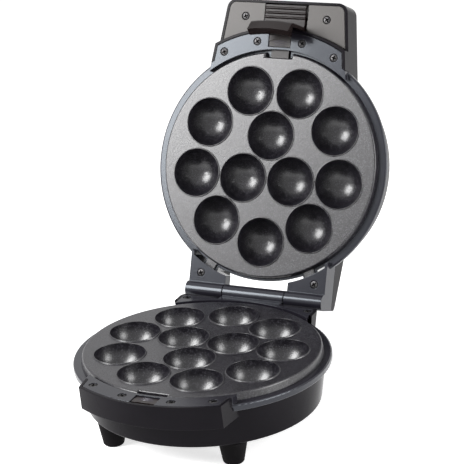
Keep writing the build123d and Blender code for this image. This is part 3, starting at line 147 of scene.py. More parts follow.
class HardwareSettings(bpy.types.PropertyGroup):
    """Sizes of the small hardware."""

    thread_pitch: bpy.props.FloatProperty(
        name="Thread pitch", description="Of the coarse screw threads", default=0.0014,
        unit="LENGTH", precision=5)
    thread_depth: bpy.props.FloatProperty(
        name="Thread depth", description="Crest to root", default=0.00032, unit="LENGTH", precision=5)
    dome: bpy.props.FloatProperty(
        name="Head dome", description="Rise of a screw head's top", default=0.0004,
        unit="LENGTH", precision=5)
    recess_depth: bpy.props.FloatProperty(
        name="Recess depth", description="Of the cross in a screw head", default=0.0013,
        unit="LENGTH", precision=5)
    grip_height: bpy.props.FloatProperty(
        name="Grip height", description="Of the ribs on a release catch", default=0.00028,
        unit="LENGTH", precision=5)
    grip_width: bpy.props.FloatProperty(
        name="Grip width", description="Of the ribs on a release catch", default=0.0009,
        unit="LENGTH", precision=5)


# ------------------------------------------------------------- shader building
class Wire:
    """A socket of a node tree that takes part in arithmetic; each sign adds a Math node."""

    def __init__(self, finish, socket):
        self.finish = finish
        self.socket = socket

    def _math(self, operation, first, second):
        return self.finish.node("ShaderNodeMath", {"operation": operation}, {0: first, 1: second})

    def __add__(self, other):
        return self._math("ADD", self, other)

    def __radd__(self, other):
        return self._math("ADD", other, self)

    def __mul__(self, other):
        return self._math("MULTIPLY", self, other)

    def __rmul__(self, other):
        return self._math("MULTIPLY", other, self)


class Finish:
    """A material and the expressions that paint it."""

    def __init__(self, name, tree=None):
        if tree is None:
            self.material = bpy.data.materials.new(name)
            self.material.use_nodes = True
            tree = self.material.node_tree
        self.tree = tree
        self.tree.nodes.clear()

    def node(self, kind, settings, inputs, output=0):
        """Any node: its settings are set first, then its sockets are filled or wired."""
        made = self.tree.nodes.new(kind)
        for name, value in settings.items():
            setattr(made, name, value)
        for key, value in inputs.items():
            socket = self._socket(made.inputs, key)
            if isinstance(value, Wire):
                self.tree.links.new(value.socket, socket)
            else:
                socket.default_value = value
        return Wire(self, self._socket(made.outputs, output)) if len(made.outputs) else made

    @staticmethod
    def _socket(sockets, key):
        if isinstance(key, int):
            return sockets[key]
        for socket in sockets:
            if socket.identifier == key or (socket.name == key and socket.enabled):
                return socket
        raise KeyError(f"no socket {key!r} among {[s.identifier for s in sockets]}")

    def place(self):
        """Where a point lies on the object, in metres."""
        return self.node("ShaderNodeTexCoord", {}, {}, "Object")

    def noise(self, grain, detail):
        """Soft noise whose features are about `grain` metres across."""
        return self.node("ShaderNodeTexNoise", {}, {
            "Vector": self.place(), "Scale": 1 / grain, "Detail": detail}, "Fac")

    def flecks(self, grain):
        """Even value for each small cell about `grain` metres across."""
        return self.node("ShaderNodeTexVoronoi", {"feature": "F1"}, {
            "Vector": self.place(), "Scale": 1 / grain}, "Color")

    def ramp(self, value, low, high):
        """0 below low, 1 above high, with a straight rise between them."""
        return self.node("ShaderNodeMapRange", {"clamp": True}, {
            "Value": value, "From Min": low, "From Max": high, "To Min": 0.0, "To Max": 1.0}, "Result")

    def mix(self, amount, first, second):
        """Colour between two colours."""
        return self.node("ShaderNodeMix", {"data_type": "RGBA"}, {
            "Factor_Float": amount, "A_Color": first, "B_Color": second}, "Result_Color")

    def soft_edges(self, radius):
        """Surface direction that turns softly over a moulded edge."""
        return self.node("ShaderNodeBevel", {"samples": 6}, {"Radius": radius})

    def bump(self, height, depth, normal=None):
        """Relief of a height in metres, on top of another surface direction."""
        inputs = {"Height": height, "Distance": depth, "Strength": 1.0}
        if normal is not None:
            inputs["Normal"] = normal
        return self.node("ShaderNodeBump", {}, inputs)

    def plain_sight(self):
        """1 where the surface is seen, mirrored or looked through, and 0 where it lights something."""
        rays = self.tree.nodes.new("ShaderNodeLightPath")
        seen = Wire(self, rays.outputs["Is Camera Ray"])
        mirrored = Wire(self, rays.outputs["Is Glossy Ray"])
        through = Wire(self, rays.outputs["Is Transmission Ray"])
        return seen + mirrored + through

    def close(self, inputs):
        """Principled surface on the material's output."""
        surface = self.node("ShaderNodeBsdfPrincipled", {}, inputs, "BSDF")
        self.node("ShaderNodeOutputMaterial", {}, {"Surface": surface})
        return self.material


def solid(colour):
    """A colour that lets nothing through."""
    return (*colour, 1.0)


# ------------------------------------------------------------------- finishes
# how far apart the features of each texture lie, in metres
HANDLING_HAZE = 0.045
SKIN_FLOW = 0.012
GLOSS_GRAIN = 0.0004
SATIN_GRAIN = 0.00035
SATIN_CLOUD = 0.03
COAT_CELL = 0.0008
COAT_PEEL = 0.0016
COAT_GRAIN = 0.0005
COAT_WEAR = 0.05
RUBBER_GRAIN = 0.0006
RUBBER_DUST = 0.01
OXIDE_RUB = 0.004
OXIDE_GRAIN = 0.0003
# grain of the painted shade in screw recesses
RECESS_SHADE_GRAIN = 0.0005
METAL_STAIN = 0.02
CERAMIC_SPECK = 0.0012
LENS_PRISM = 0.0012
# drawing lines to a metre
METAL_LINES = 2500.0

# depth of each relief, in metres
SKIN_DEPTH = 0.00005
GLOSS_DEPTH = 0.000004
SATIN_DEPTH = 0.00001
PEEL_DEPTH = 0.00005
COAT_DEPTH = 0.00003
RUBBER_DEPTH = 0.00004
OXIDE_DEPTH = 0.000004
LINE_DEPTH = 0.000006
SPECK_DEPTH = 0.00002
PRISM_DEPTH = 0.00003

# how round the edges of small hardware look, in metres
SCREW_EDGE = 0.0001
LENS_EDGE = 0.0003
CERAMIC_EDGE = 0.0004

# refractive indices
HOUSING_INDEX = 1.15
COVER_INDEX = 1.42
BEZEL_INDEX = 1.44
LATCH_INDEX = 1.26
CATCH_INDEX = 1.36
RIB_INDEX = 1.6
COAT_INDEX = 1.6
RUBBER_INDEX = 1.15
RECESS_INDEX = 1.12
LENS_INDEX = 1.49

# tints of the satin mouldings' gloss
COVER_TINT = (1.0, 0.98, 0.97)
BEZEL_TINT = (0.86, 0.93, 1.0)
NO_TINT = (1.0, 1.0, 1.0)

# roughness where no setting holds it
COVER_ROUGHNESS = 0.33
LATCH_ROUGHNESS = 0.16
CATCH_ROUGHNESS = 0.3
RIB_ROUGHNESS = 0.24
RUBBER_ROUGHNESS = 0.62
OXIDE_ROUGHNESS = 0.34
# roughness of the painted shade in screw recesses
RECESS_SHADE_ROUGHNESS = 0.7
CERAMIC_ROUGHNESS = 0.3
LENS_ROUGHNESS = 0.06

# what each texture adds to the roughness at its highest
HAZE_BLUR = 0.07
GLOSS_BLUR = 0.03
CLOUD_BLUR = 0.06
SATIN_BLUR = 0.05
MICA_BLUR = 0.1
COAT_BLUR = 0.08
WEAR_BLUR = 0.03
RUBBER_BLUR = 0.15
OXIDE_BLUR = 0.1
# roughness spread of the painted shade in screw recesses
RECESS_SHADE_BLUR = 0.2
LINE_BLUR = 0.12
CERAMIC_BLUR = 0.2
PRISM_BLUR = 0.06

# what the best polished spots lack of the set roughness
GLOSS_POLISH = 0.02
SATIN_POLISH = 0.03
COAT_POLISH = 0.07

# how much of the second colour shows where a texture is at its highest
HAZE_VEIL = 0.5
MICA_SHOW = 0.6
STAIN_SHOW = 0.6
SPECK_SHOW = 0.4


def moulded_gloss(settings, name, colour, roughness, index):
    """Glossy moulded plastic: faint flow of the skin, dust-fine grain, handling haze."""
    finish = Finish(name)
    haze = finish.ramp(finish.noise(HANDLING_HAZE, 3), 0.35, 0.75)
    skin = finish.noise(SKIN_FLOW, 2)
    grain = finish.noise(GLOSS_GRAIN, 1)
    lighter = tuple(min(1.0, 1.6 * part + 0.002) for part in colour)
    return finish.close({
        "Base Color": finish.mix(haze * HAZE_VEIL, solid(colour), solid(lighter)),
        "Roughness": haze * HAZE_BLUR + (roughness - GLOSS_POLISH) + grain * GLOSS_BLUR,
        "IOR": index,
        "Normal": finish.bump(skin, SKIN_DEPTH, finish.bump(
            grain, GLOSS_DEPTH, finish.soft_edges(settings.edge_radius))),
    })


def moulded_satin(settings, name, colour, roughness, index, tint=NO_TINT):
    """Spark-eroded satin plastic: fine even grain with slightly polished high spots."""
    finish = Finish(name)
    grain = finish.noise(SATIN_GRAIN, 2)
    cloud = finish.noise(SATIN_CLOUD, 2)
    lighter = tuple(min(1.0, 1.5 * part + 0.003) for part in colour)
    return finish.close({
        "Base Color": finish.mix(cloud, solid(colour), solid(lighter)),
        "Roughness": cloud * CLOUD_BLUR + (roughness - SATIN_POLISH) + grain * SATIN_BLUR,
        "IOR": index,
        "Specular Tint": solid(tint),
        "Normal": finish.bump(grain, SATIN_DEPTH, finish.soft_edges(settings.edge_radius)),
    })


def non_stick(settings):
    """Sprayed non-stick coat on pressed aluminium: dark ground, mica flecks, orange peel."""
    finish = Finish("non-stick coat")
    cell = finish.flecks(COAT_CELL)
    bright = finish.node("ShaderNodeSeparateColor", {}, {"Color": cell}, "Red")
    mica = finish.ramp(bright, 0.7, 1.0)
    peel = finish.noise(COAT_PEEL, 2)
    fine = finish.noise(COAT_GRAIN, 2)
    worn = finish.noise(COAT_WEAR, 3)
    return finish.close({
        "Base Color": finish.mix(mica * MICA_SHOW, solid(settings.coat_colour), solid(settings.fleck_colour)),
        "Roughness": (
            settings.coat_roughness - COAT_POLISH + mica * MICA_BLUR + fine * COAT_BLUR + worn * WEAR_BLUR),
        "IOR": COAT_INDEX,
        "Normal": finish.bump(peel, PEEL_DEPTH, finish.bump(
            fine, COAT_DEPTH, finish.soft_edges(settings.edge_radius))),
    })


def rubber(settings):
    """Moulded rubber: matt, with a dusting that catches light."""
    finish = Finish("black rubber")
    grain = finish.noise(RUBBER_GRAIN, 3)
    dust = finish.ramp(finish.noise(RUBBER_DUST, 3), 0.45, 0.8)
    dusty = tuple(part * 2.2 for part in settings.rubber_colour)
    return finish.close({
        "Base Color": finish.mix(dust, solid(settings.rubber_colour), solid(dusty)),
        "Roughness": RUBBER_ROUGHNESS + grain * RUBBER_BLUR,
        "IOR": RUBBER_INDEX,
        "Normal": finish.bump(grain, RUBBER_DEPTH, finish.soft_edges(settings.edge_radius)),
    })


def blackened_steel():
    """Black oxide on steel, rubbed a little lighter by the driver."""
    finish = Finish("blackened steel")
    rubbed = finish.ramp(finish.noise(OXIDE_RUB, 2), 0.4, 0.7)
    grain = finish.noise(OXIDE_GRAIN, 2)
    return finish.close({
        "Base Color": finish.mix(rubbed, (0.045, 0.044, 0.046, 1), (0.085, 0.082, 0.083, 1)),
        "Metallic": 1.0,
        "Roughness": OXIDE_ROUGHNESS + grain * OXIDE_BLUR,
        "Normal": finish.bump(grain, OXIDE_DEPTH, finish.soft_edges(SCREW_EDGE)),
    })


def painted_recess_shade():
    """Painted shade: a near-black colour with a faint mottle for a screw's cross recess and the ring round
    its head.
    """
    finish = Finish("black recess")
    shade_mottle = finish.noise(RECESS_SHADE_GRAIN, 3)
    return finish.close({
        "Base Color": finish.mix(shade_mottle, (0.002, 0.002, 0.002, 1), (0.008, 0.007, 0.007, 1)),
        "Roughness": RECESS_SHADE_ROUGHNESS + shade_mottle * RECESS_SHADE_BLUR,
        "IOR": RECESS_INDEX,
    })


def drawn_metal(name, colour, roughness, stretch):
    """Bare metal with fine drawing lines along one way and a little staining."""
    finish = Finish(name)
    along = finish.node("ShaderNodeVectorMath", {"operation": "MULTIPLY"}, {0: finish.place(), 1: stretch})
    lines = finish.node("ShaderNodeTexNoise", {}, {
        "Vector": along, "Scale": METAL_LINES, "Detail": 2.0}, "Fac")
    stain = finish.ramp(finish.noise(METAL_STAIN, 4), 0.4, 0.8)
    darker = tuple(part * 0.72 for part in colour)
    return finish.close({
        "Base Color": finish.mix(stain * STAIN_SHOW, solid(colour), solid(darker)),
        "Metallic": 1.0,
        "Roughness": roughness + lines * LINE_BLUR,
        "Normal": finish.bump(lines, LINE_DEPTH),
    })


def glazed_ceramic():
    """Off-white glazed ceramic of the terminal block."""
    finish = Finish("glazed ceramic")
    speck = finish.ramp(finish.noise(CERAMIC_SPECK, 2), 0.6, 0.75)
    return finish.close({
        "Base Color": finish.mix(speck * SPECK_SHOW, (0.74, 0.72, 0.66, 1), (0.55, 0.5, 0.42, 1)),
        "Roughness": CERAMIC_ROUGHNESS + speck * CERAMIC_BLUR,
        "Normal": finish.bump(speck, SPECK_DEPTH, finish.soft_edges(CERAMIC_EDGE)),
    })


def lamp_lens(settings):
    """Clear red lamp lens with moulded prisms inside."""
    finish = Finish("red lens")
    prism = finish.flecks(LENS_PRISM)
    light = finish.node("ShaderNodeSeparateColor", {}, {"Color": prism}, "Red")
    deep = tuple(part * 0.35 for part in settings.lens_colour)
    return finish.close({
        "Base Color": finish.mix(light, solid(deep), solid(settings.lens_colour)),
        "Roughness": LENS_ROUGHNESS + light * PRISM_BLUR,
        "Coat Weight": 1.0,
        "Coat Roughness": 0.03,
        "IOR": LENS_INDEX,
        "Normal": finish.bump(light, PRISM_DEPTH, finish.soft_edges(LENS_EDGE)),
    })


def paint(material, *nodes):
    """Gives frame nodes their finish through their own material slots."""
    for name in nodes:
        target = frame["nodes"][name]
        if not target.material_slots:
            target.data.materials.append(material)
        for slot in target.material_slots:
            slot.material = material


# ----------------------------------------------------------------- small parts
WELD = 0.000002
SMOOTH_ANGLE = math.radians(35)

SCREW_SIDES = 20
THREAD_ROWS = 6  # to one turn of the thread
THREAD_SLOPE = 3.2
THREAD_RUNOUT = 0.3  # plain part under the head, as a share of the pitch
THREAD_TIP = 0.05  # from the tip to the first row, as a share of the pitch
POINT_SHARE = 0.45  # radius of the point, as a share of the shank's
POINT_TURNS = 2  # turns over which the point grows to the full shank

# a screw head's profile, as shares of its radius or height
SEAT_RADIUS = 0.93
FLANK_START = 0.12
FLANK_END = 0.5
SHOULDER_RADIUS = 0.82
SHOULDER_ROUND = 0.18
SHOULDER_RINGS = 6
TOP_RINGS = (0.7, 0.5, 0.3, 0.12)

# the cross recess at the top and at its floor, as shares of the head's radius
CROSS_REACH = 0.72
CROSS_REACH_LOW = 0.4
CROSS_WIDTH = 0.21
CROSS_WIDTH_LOW = 0.15
CUTTER_TOP = 1.2  # share of the head's height
CROSS_LOWEST = 0.15  # share of the head's height
CROSS_EDGE = 0.00004  # metres under the dome from where the recess takes the painted shade
SHADE_RING = 0.86  # share of the radius past which the head's edge takes the painted shade

# how a plain screw is measured: metres at its shank's end, share of its radius at its head's edge,
# and the digits to which two screws of one size agree
SHANK_END = 0.0002
HEAD_EDGE = 0.95
ALIKE_DIGITS = 5

# the screws are driven home at different turns
FIRST_TURN = 0.35
NEXT_TURN = 1.9

# the finger rest of the lower catch is a shallow step, ended by an arc about this place in the frame;
# each rib has a radius and half a spread
REST_CENTRE = Vector((0, -0.1585, 0.0664))
REST_ARCS = ((0.0172, math.radians(24)), (0.0153, math.radians(23)), (0.0134, math.radians(20)))
RIB_STEPS = 24
RIB_SIDES = 7
RIB_END = 0.12
RIB_TAPER = 0.4
RIB_SINK = 0.15  # share of its height that a rib's foot lies under the surface


def islands(node):
    """Each separate solid of a frame node, as the list of its corner points."""
    mesh = frame["nodes"][node].data
    shape = bmesh.new()
    shape.from_mesh(mesh)
    bmesh.ops.remove_doubles(shape, verts=shape.verts, dist=WELD)
    left = set(shape.verts)
    groups = []
    while left:
        start = left.pop()
        group = [start]
        queue = [start]
        while queue:
            for edge in queue.pop().link_edges:
                for point in edge.verts:
                    if point in left:
                        left.discard(point)
                        group.append(point)
                        queue.append(point)
        groups.append([point.co.copy() for point in group])
    shape.free()
    return sorted(groups, key=lambda points: tuple(round(v, 4) for v in sum(points, Vector()) / len(points)))


def new_piece(name, shape, materials, body):
    """A finished mesh object that rides on a body of the frame."""
    mesh = bpy.data.meshes.new(name)
    shape.to_mesh(mesh)
    shape.free()
    for material in materials:
        mesh.materials.append(material)
    made = bpy.data.objects.new(name, mesh)
    bpy.context.scene.collection.objects.link(made)
    mesh.shade_smooth()
    mesh.set_sharp_from_angle(angle=SMOOTH_ANGLE)
    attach(made, body)
    return made


def ring_of_points(shape, radius, height, count):
    """A closed ring of points round the local Z axis; its radius may be a function of the turn."""
    points = []
    for step in range(count):
        turn = 2 * math.pi * step / count
        away = radius(turn) if callable(radius) else radius
        points.append(shape.verts.new((away * math.cos(turn), away * math.sin(turn), height)))
    return points


def skin(shape, lower, upper):
    """A band of faces between two rings."""
    count = len(lower)
    for step in range(count):
        after = (step + 1) % count
        shape.faces.new((lower[step], lower[after], upper[after], upper[step]))


def screw_shape(head_radius, head_height, shank_radius, length, settings):
    """A pan-head screw with its seat at height 0, its threaded shank below and a cross recess.

    The recess and the head's edge take the second material, which paints shade on them."""
    shape = bmesh.new()
    pitch = settings.thread_pitch
    depth = settings.thread_depth

    def thread(height):
        def radius(turn):
            phase = (height / pitch - turn / (2 * math.pi)) % 1
            crest = max(0.0, 1 - abs(phase - 0.5) * THREAD_SLOPE)
            fade = min(1.0, (length + height) / (POINT_TURNS * pitch))
            return (shank_radius - depth + depth * crest) * (POINT_SHARE + (1 - POINT_SHARE) * fade)
        return radius

    tip = shape.verts.new((0, 0, -length))
    rows = int((length - THREAD_RUNOUT * pitch) / pitch * THREAD_ROWS)
    rings = []
    for row in range(rows + 1):
        height = -length + THREAD_TIP * pitch + row * (length - THREAD_TIP * pitch) / rows
        rings.append(ring_of_points(shape, thread(height), height, SCREW_SIDES))
    for step in range(SCREW_SIDES):
        shape.faces.new((tip, rings[0][(step + 1) % SCREW_SIDES], rings[0][step]))
    for lower, upper in zip(rings, rings[1:]):
        skin(shape, lower, upper)
    dome = settings.dome
    profile = [
        (head_radius * SEAT_RADIUS, 0.0),
        (head_radius, head_height * FLANK_START),
        (head_radius, head_height * FLANK_END),
    ]
    side_height = head_height - dome
    for part in range(1, SHOULDER_RINGS):
        bend = math.pi / 2 * part / SHOULDER_RINGS
        profile.append((
            head_radius * (SHOULDER_RADIUS + SHOULDER_ROUND * math.cos(bend)),
            head_height * FLANK_END + (side_height - head_height * FLANK_END) * math.sin(bend)))
    for part in TOP_RINGS:
        profile.append((head_radius * part, head_height - dome * part * part))
    last = rings[-1]
    for radius, height in profile:
        ring = ring_of_points(shape, radius, height, SCREW_SIDES)
        skin(shape, last, ring)
        last = ring
    shape.faces.new(last)
    bmesh.ops.recalc_face_normals(shape, faces=shape.faces)
    shape = cut_cross(shape, head_radius, head_height, settings.recess_depth)
    # the cross recess and a ring round the head's rounded edge take the painted shade
    for face in shape.faces:
        middle = face.calc_center_median()
        away = math.hypot(middle.x, middle.y)
        top = head_height - dome * (away / head_radius) ** 2
        below_the_top = head_height * CROSS_LOWEST < middle.z < top - CROSS_EDGE
        in_cross = away < head_radius * CROSS_REACH and below_the_top
        round_the_head = away > head_radius * SHADE_RING and middle.z > 0
        if in_cross or round_the_head:
            face.material_index = 1
    return shape


def cut_cross(shape, head_radius, head_height, depth):
    """Cuts a tapered cross recess into a screw head."""
    cutter = bmesh.new()
    floor = (head_radius * CROSS_REACH_LOW, head_radius * CROSS_WIDTH_LOW, head_height - depth)
    mouth = (head_radius * CROSS_REACH, head_radius * CROSS_WIDTH, head_height * CUTTER_TOP)
    for turn in (0, math.pi / 2):
        turned = Matrix.Rotation(turn, 4, "Z")
        corners = []
        for reach, side, level in (floor, mouth):
            ring = [(-reach, -side), (reach, -side), (reach, side), (-reach, side)]
            corners.append([cutter.verts.new(turned @ Vector((x, y, level))) for x, y in ring])
        cutter.faces.new(reversed(corners[0]))
        cutter.faces.new(corners[1])
        skin(cutter, corners[0], corners[1])
    tools = []
    for name, part in (("screw head", shape), ("cross cutter", cutter)):
        mesh = bpy.data.meshes.new(name)
        part.to_mesh(mesh)
        part.free()
        made = bpy.data.objects.new(name, mesh)
        bpy.context.scene.collection.objects.link(made)
        tools.append(made)
    head, cross = tools
    cut = head.modifiers.new("cross", "BOOLEAN")
    cut.operation = "DIFFERENCE"
    cut.solver = "EXACT"
    cut.use_self = True
    cut.object = cross
    bpy.context.view_layer.update()
    ready = head.evaluated_get(bpy.context.evaluated_depsgraph_get())
    result = bmesh.new()
    result.from_mesh(ready.to_mesh())
    ready.to_mesh_clear()
    for made in tools:
        mesh = made.data
        bpy.data.objects.remove(made)
        bpy.data.meshes.remove(mesh)
    return result


def screw_group(node, body, facing, materials, settings):
    """Threaded screws in place of a frame node's plain ones, each turned a little differently."""
    combined = bmesh.new()
    shapes = {}
    upright = facing.normalized()
    tilt = UP.rotation_difference(upright).to_matrix().to_4x4()
    for number, points in enumerate(islands(node)):
        heights = [point.dot(upright) for point in points]
        centre = sum(points, Vector()) / len(points)
        low, high = min(heights), max(heights)
        across = [((point - centre) - upright * (point - centre).dot(upright)).length for point in points]
        head_radius = max(across)
        bottom = [a for a, h in zip(across, heights) if h < low + SHANK_END]
        shank_radius = max(bottom)
        wide = [h for a, h in zip(across, heights) if a > head_radius * HEAD_EDGE]
        seat = min(wide)
        key = tuple(round(size, ALIKE_DIGITS) for size in (head_radius, high - seat, seat - low))
        if key not in shapes:
            shapes[key] = screw_shape(head_radius, high - seat, shank_radius, seat - low, settings)
        at = centre + upright * (seat - centre.dot(upright))
        spot = Matrix.Translation(at) @ tilt @ Matrix.Rotation(FIRST_TURN + NEXT_TURN * number, 4, "Z")
        piece = shapes[key].copy()
        bmesh.ops.transform(piece, matrix=spot, verts=piece.verts)
        mesh = bpy.data.meshes.new("part")
        piece.to_mesh(mesh)
        combined.from_mesh(mesh)
        bpy.data.meshes.remove(mesh)
        piece.free()
    for shape in shapes.values():
        shape.free()
    made = new_piece(node + "_threaded", combined, materials, body)
    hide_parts(node)


def grip_ribs(settings, centre, radii):
    """Low half-round ribs that arch across a release catch, each fading out at its ends."""
    shape = bmesh.new()
    for radius, spread in radii:
        last = None
        for step in range(RIB_STEPS + 1):
            turn = spread * (2 * step / RIB_STEPS - 1)
            fade = max(RIB_END, math.sin(math.pi * step / RIB_STEPS)) ** RIB_TAPER
            row = []
            for side in range(RIB_SIDES):
                bend = math.pi * side / (RIB_SIDES - 1)
                away = radius + settings.grip_width / 2 * fade * math.cos(bend)
                rise = settings.grip_height * (fade * math.sin(bend) - RIB_SINK)
                place = centre + Vector((away * math.sin(turn), -away * math.cos(turn), rise))
                row.append(shape.verts.new(place))
            if last:
                skin(shape, last, row)
            else:
                shape.faces.new(row)
            last = row
        shape.faces.new(reversed(last))
    return shape


# ------------------------------------------------------------------- operators
class CAKEPOP_OT_housings(bpy.types.Operator):
    """Glossy black housings of the base, the lid and the handle"""

    bl_idname = "cakepop.housings"
    bl_label = "Finish housings"

    def execute(self, context):
        settings = context.scene.cakepop_finish
        housing = moulded_gloss(
            settings, "gloss black housing", settings.gloss_colour, settings.gloss_roughness, HOUSING_INDEX)
        paint(housing, "base_shell", "lid_shell")
        cover = moulded_satin(
            settings, "satin handle cover", settings.cover_colour, COVER_ROUGHNESS, COVER_INDEX, COVER_TINT)
        paint(cover, "handle_cover")
        return {"FINISHED"}


class CAKEPOP_OT_bezels(bpy.types.Operator):
    """Satin bezels of the base and the lid"""

    bl_idname = "cakepop.bezels"
    bl_label = "Finish bezels"

    def execute(self, context):
        settings = context.scene.cakepop_finish
        bezel = moulded_satin(
            settings, "satin black bezel", settings.satin_colour, settings.satin_roughness,
            BEZEL_INDEX, BEZEL_TINT)
        paint(bezel, "base_bezel", "lid_bezel")
        return {"FINISHED"}


class CAKEPOP_OT_plates(bpy.types.Operator):
    """Non-stick coat of the two cooking plates"""

    bl_idname = "cakepop.plates"
    bl_label = "Finish cooking plates"

    def execute(self, context):
        paint(non_stick(context.scene.cakepop_finish), "lower_plate", "upper_plate")
        return {"FINISHED"}


class CAKEPOP_OT_latch(bpy.types.Operator):
    """Latch, release catches and the latch's pin"""

    bl_idname = "cakepop.latch"
    bl_label = "Finish latch and catches"

    def execute(self, context):
        settings = context.scene.cakepop_finish
        latch = moulded_gloss(settings, "gloss latch", settings.latch_colour, LATCH_ROUGHNESS, LATCH_INDEX)
        paint(latch, "latch")
        catch = moulded_satin(settings, "satin catch", settings.latch_colour, CATCH_ROUGHNESS, CATCH_INDEX)
        paint(catch, "upper_plate_release", "lower_plate_release")
        steel = drawn_metal("drawn steel", (0.56, 0.56, 0.57), 0.22, (0.02, 1.0, 1.0))
        paint(steel, "latch_pin", "hinge_pins", "latch_spring")
        return {"FINISHED"}


class CAKEPOP_OT_grips(bpy.types.Operator):
    """Finger ribs on the two release catches"""

    bl_idname = "cakepop.grips"
    bl_label = "Make catch ribs"

    def execute(self, context):
        settings = context.scene.cakepop_hardware
        worn = tuple(part * 4 for part in context.scene.cakepop_finish.satin_colour)
        material = moulded_satin(
            context.scene.cakepop_finish, "worn catch ribs", worn, RIB_ROUGHNESS, RIB_INDEX)
        for node, body, place in (
            ("lower_plate_release", "lower_release", Matrix()),
            ("upper_plate_release", "upper_release", TO_OPEN_LID),
        ):
            shape = grip_ribs(settings, REST_CENTRE, REST_ARCS)
            bmesh.ops.transform(shape, matrix=place, verts=shape.verts)
            bmesh.ops.recalc_face_normals(shape, faces=shape.faces)
            new_piece(node + "_ribs", shape, [material], body)
        return {"FINISHED"}


class CAKEPOP_OT_heaters(bpy.types.Operator):
    """Heating elements, reflector pans and their clips, and the parts inside the base"""

    bl_idname = "cakepop.heaters"
    bl_label = "Finish heating parts"

    def execute(self, context):
        paint(drawn_metal("element sheath", (0.42, 0.41, 0.4), 0.34, (1.0, 1.0, 0.1)),
              "lower_heating_element", "upper_heating_element")
        paint(drawn_metal("aluminium sheet", (0.78, 0.78, 0.79), 0.26, (0.05, 1.0, 1.0)),
              "lower_reflector", "upper_reflector", "lower_element_clips", "upper_element_clips",
              "thermostat", "thermal_fuse")
        paint(glazed_ceramic(), "terminal_block")
        return {"FINISHED"}


class CAKEPOP_OT_rubber(bpy.types.Operator):
    """Rubber feet and the cord's grommet"""

    bl_idname = "cakepop.rubber"
    bl_label = "Finish rubber parts"

    def execute(self, context):
        paint(rubber(context.scene.cakepop_finish), "rubber_feet", "cord_gland")
        return {"FINISHED"}


class CAKEPOP_OT_lamps(bpy.types.Operator):
    """Lenses of the two lamps in the lid"""

    bl_idname = "cakepop.lamps"
    bl_label = "Finish lamp lenses"

    def execute(self, context):
        paint(lamp_lens(context.scene.cakepop_finish), "indicator_lenses")
        return {"FINISHED"}


class CAKEPOP_OT_screws(bpy.types.Operator):
    """Threaded cross-head screws in place of the plain ones"""

    bl_idname = "cakepop.screws"
    bl_label = "Make screws"

    def execute(self, context):
        settings = context.scene.cakepop_hardware
        # each screw's second material paints shade into its recess and round its head
        black = [blackened_steel(), painted_recess_shade()]
        zinc = drawn_metal("zinc-plated steel", (0.6, 0.6, 0.58), 0.25, (1.0, 1.0, 1.0))
        bright = [zinc, painted_recess_shade()]
        for node, body, facing in (
            ("base_tab_screws", "base", UP),
            ("base_hinge_screws", "base", UP),
            ("lid_tab_screws", "lid", LID_FACE),
            ("lid_hinge_screws", "lid", LID_FACE),
            ("handle_cover_screws", "lid", LID_FACE),
        ):
            screw_group(node, body, facing, black, settings)
        screw_group("foot_screws", "base", -UP, bright, settings)
        screw_group("lower_pan_screws", "base", UP, bright, settings)
        screw_group("upper_pan_screws", "lid", LID_FACE, bright, settings)
        return {"FINISHED"}


# what the lamps point at, and each lamp's name, way from there, distance, size and power setting
LAMP_AIM = Vector((0, -0.013, 0.14))
LAMPS = (
    ("key soft box", Vector((-0.665, -0.745, 0.73)), 1.6, (0.78, 1.0), "key_power"),
    ("side soft box", Vector((0.94, 0.0, 0.3)), 1.6, (0.8, 0.8), "side_power"),
    ("top panel", Vector((0.0, 0.15, 1.0)), 2.2, (2.2, 2.2), "top_power"),
)
SENSOR_WIDTH = 36
FAR_CLIP = 50


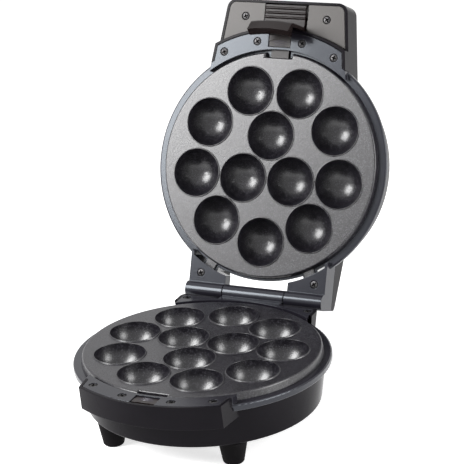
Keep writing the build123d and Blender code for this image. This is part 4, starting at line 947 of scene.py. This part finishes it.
class CAKEPOP_OT_studio(bpy.types.Operator):
    """Floor, lamps, room light and camera"""

    bl_idname = "cakepop.studio"
    bl_label = "Set up studio"

    def execute(self, context):
        settings = context.scene.cakepop_studio
        self.floor(settings)
        self.room(context, settings)
        for name, toward, distance, size, power in LAMPS:
            self.panel(name, toward, distance, size, getattr(settings, power))
        self.camera(context, settings)
        return {"FINISHED"}

    def floor(self, settings):
        finish = Finish("white sweep")
        glow = finish.mix(finish.plain_sight(), (0, 0, 0, 1), (settings.floor_glow,) * 3 + (1,))
        paper = finish.noise(0.02, 2)
        material = finish.close({
            "Base Color": solid(settings.floor_colour),
            "Roughness": 0.85 + paper * 0.1,
            "Specular IOR Level": 0.1,
            "Emission Color": glow,
            "Emission Strength": 1.0,
        })
        shape = bmesh.new()
        bmesh.ops.create_circle(shape, cap_ends=True, radius=settings.floor_radius, segments=96)
        mesh = bpy.data.meshes.new("floor")
        shape.to_mesh(mesh)
        shape.free()
        mesh.materials.append(material)
        made = bpy.data.objects.new("floor", mesh)
        bpy.context.scene.collection.objects.link(made)

    def room(self, context, settings):
        world = bpy.data.worlds.new("studio room")
        context.scene.world = world
        world.use_nodes = True
        finish = Finish("studio room", world.node_tree)
        dim = tuple(part * settings.room_light for part in settings.room_colour)
        background = finish.node("ShaderNodeBackground", {}, {
            "Color": finish.mix(finish.plain_sight(), solid(dim), (1, 1, 1, 1)),
            "Strength": 1.0,
        }, "Background")
        finish.node("ShaderNodeOutputWorld", {}, {"Surface": background})

    def panel(self, name, toward, distance, size, power):
        lamp = bpy.data.lights.new(name, "AREA")
        lamp.shape = "RECTANGLE"
        lamp.size, lamp.size_y = size
        lamp.energy = power
        made = bpy.data.objects.new(name, lamp)
        bpy.context.scene.collection.objects.link(made)
        made.location = LAMP_AIM + toward.normalized() * distance
        made.rotation_euler = toward.to_track_quat("Z", "Y").to_euler()

    def camera(self, context, settings):
        turn, rise, roll = settings.camera_turn, settings.camera_rise, settings.camera_roll
        back = Vector((
            math.sin(turn) * math.cos(rise), -math.cos(turn) * math.cos(rise), math.sin(rise)))
        right = back.cross(UP).normalized() * -1
        above = back.cross(right)
        level_right = right * math.cos(roll) + above * math.sin(roll)
        level_above = above * math.cos(roll) - right * math.sin(roll)
        data = bpy.data.cameras.new("camera")
        data.sensor_width = SENSOR_WIDTH
        data.lens = settings.lens
        data.clip_end = FAR_CLIP
        made = bpy.data.objects.new("camera", data)
        context.scene.collection.objects.link(made)
        turned = Matrix((level_right, level_above, back)).transposed().to_4x4()
        at = Vector(settings.camera_aim) + back * settings.camera_distance
        made.matrix_world = Matrix.Translation(at) @ turned
        context.scene.camera = made
        context.scene.view_settings.view_transform = "Standard"


class CAKEPOP_PT_sidebar(bpy.types.Panel):
    """Lists the steps and the settings"""

    bl_idname = "CAKEPOP_PT_sidebar"
    bl_label = "Cake pop maker"
    bl_space_type = "VIEW_3D"
    bl_region_type = "UI"
    bl_category = "Cake pop"

    def draw(self, context):
        layout = self.layout
        for step in STEPS:
            layout.operator(step.bl_idname)
        scene = context.scene
        for group in (scene.cakepop_finish, scene.cakepop_hardware, scene.cakepop_studio):
            box = layout.box()
            for name in group.bl_rna.properties.keys():
                if name not in {"rna_type", "name"}:
                    box.prop(group, name)


STEPS = (
    CAKEPOP_OT_studio,
    CAKEPOP_OT_housings,
    CAKEPOP_OT_bezels,
    CAKEPOP_OT_plates,
    CAKEPOP_OT_latch,
    CAKEPOP_OT_grips,
    CAKEPOP_OT_heaters,
    CAKEPOP_OT_rubber,
    CAKEPOP_OT_lamps,
    CAKEPOP_OT_screws,
)
GROUPS = {
    "cakepop_studio": StudioSettings,
    "cakepop_finish": FinishSettings,
    "cakepop_hardware": HardwareSettings,
}


def register():
    for group in GROUPS.values():
        bpy.utils.register_class(group)
    for name, group in GROUPS.items():
        setattr(bpy.types.Scene, name, bpy.props.PointerProperty(type=group))
    for step in STEPS:
        bpy.utils.register_class(step)
    bpy.utils.register_class(CAKEPOP_PT_sidebar)


def unregister():
    bpy.utils.unregister_class(CAKEPOP_PT_sidebar)
    for step in reversed(STEPS):
        bpy.utils.unregister_class(step)
    for name in GROUPS:
        delattr(bpy.types.Scene, name)
    for group in GROUPS.values():
        bpy.utils.unregister_class(group)


def main():
    """Runs every step in order."""
    register()
    for step in STEPS:
        family, name = step.bl_idname.split(".")
        if getattr(getattr(bpy.ops, family), name)() != {"FINISHED"}:
            raise RuntimeError(f"{step.bl_label} didn't finish")


if __name__ == "__main__":
    main()
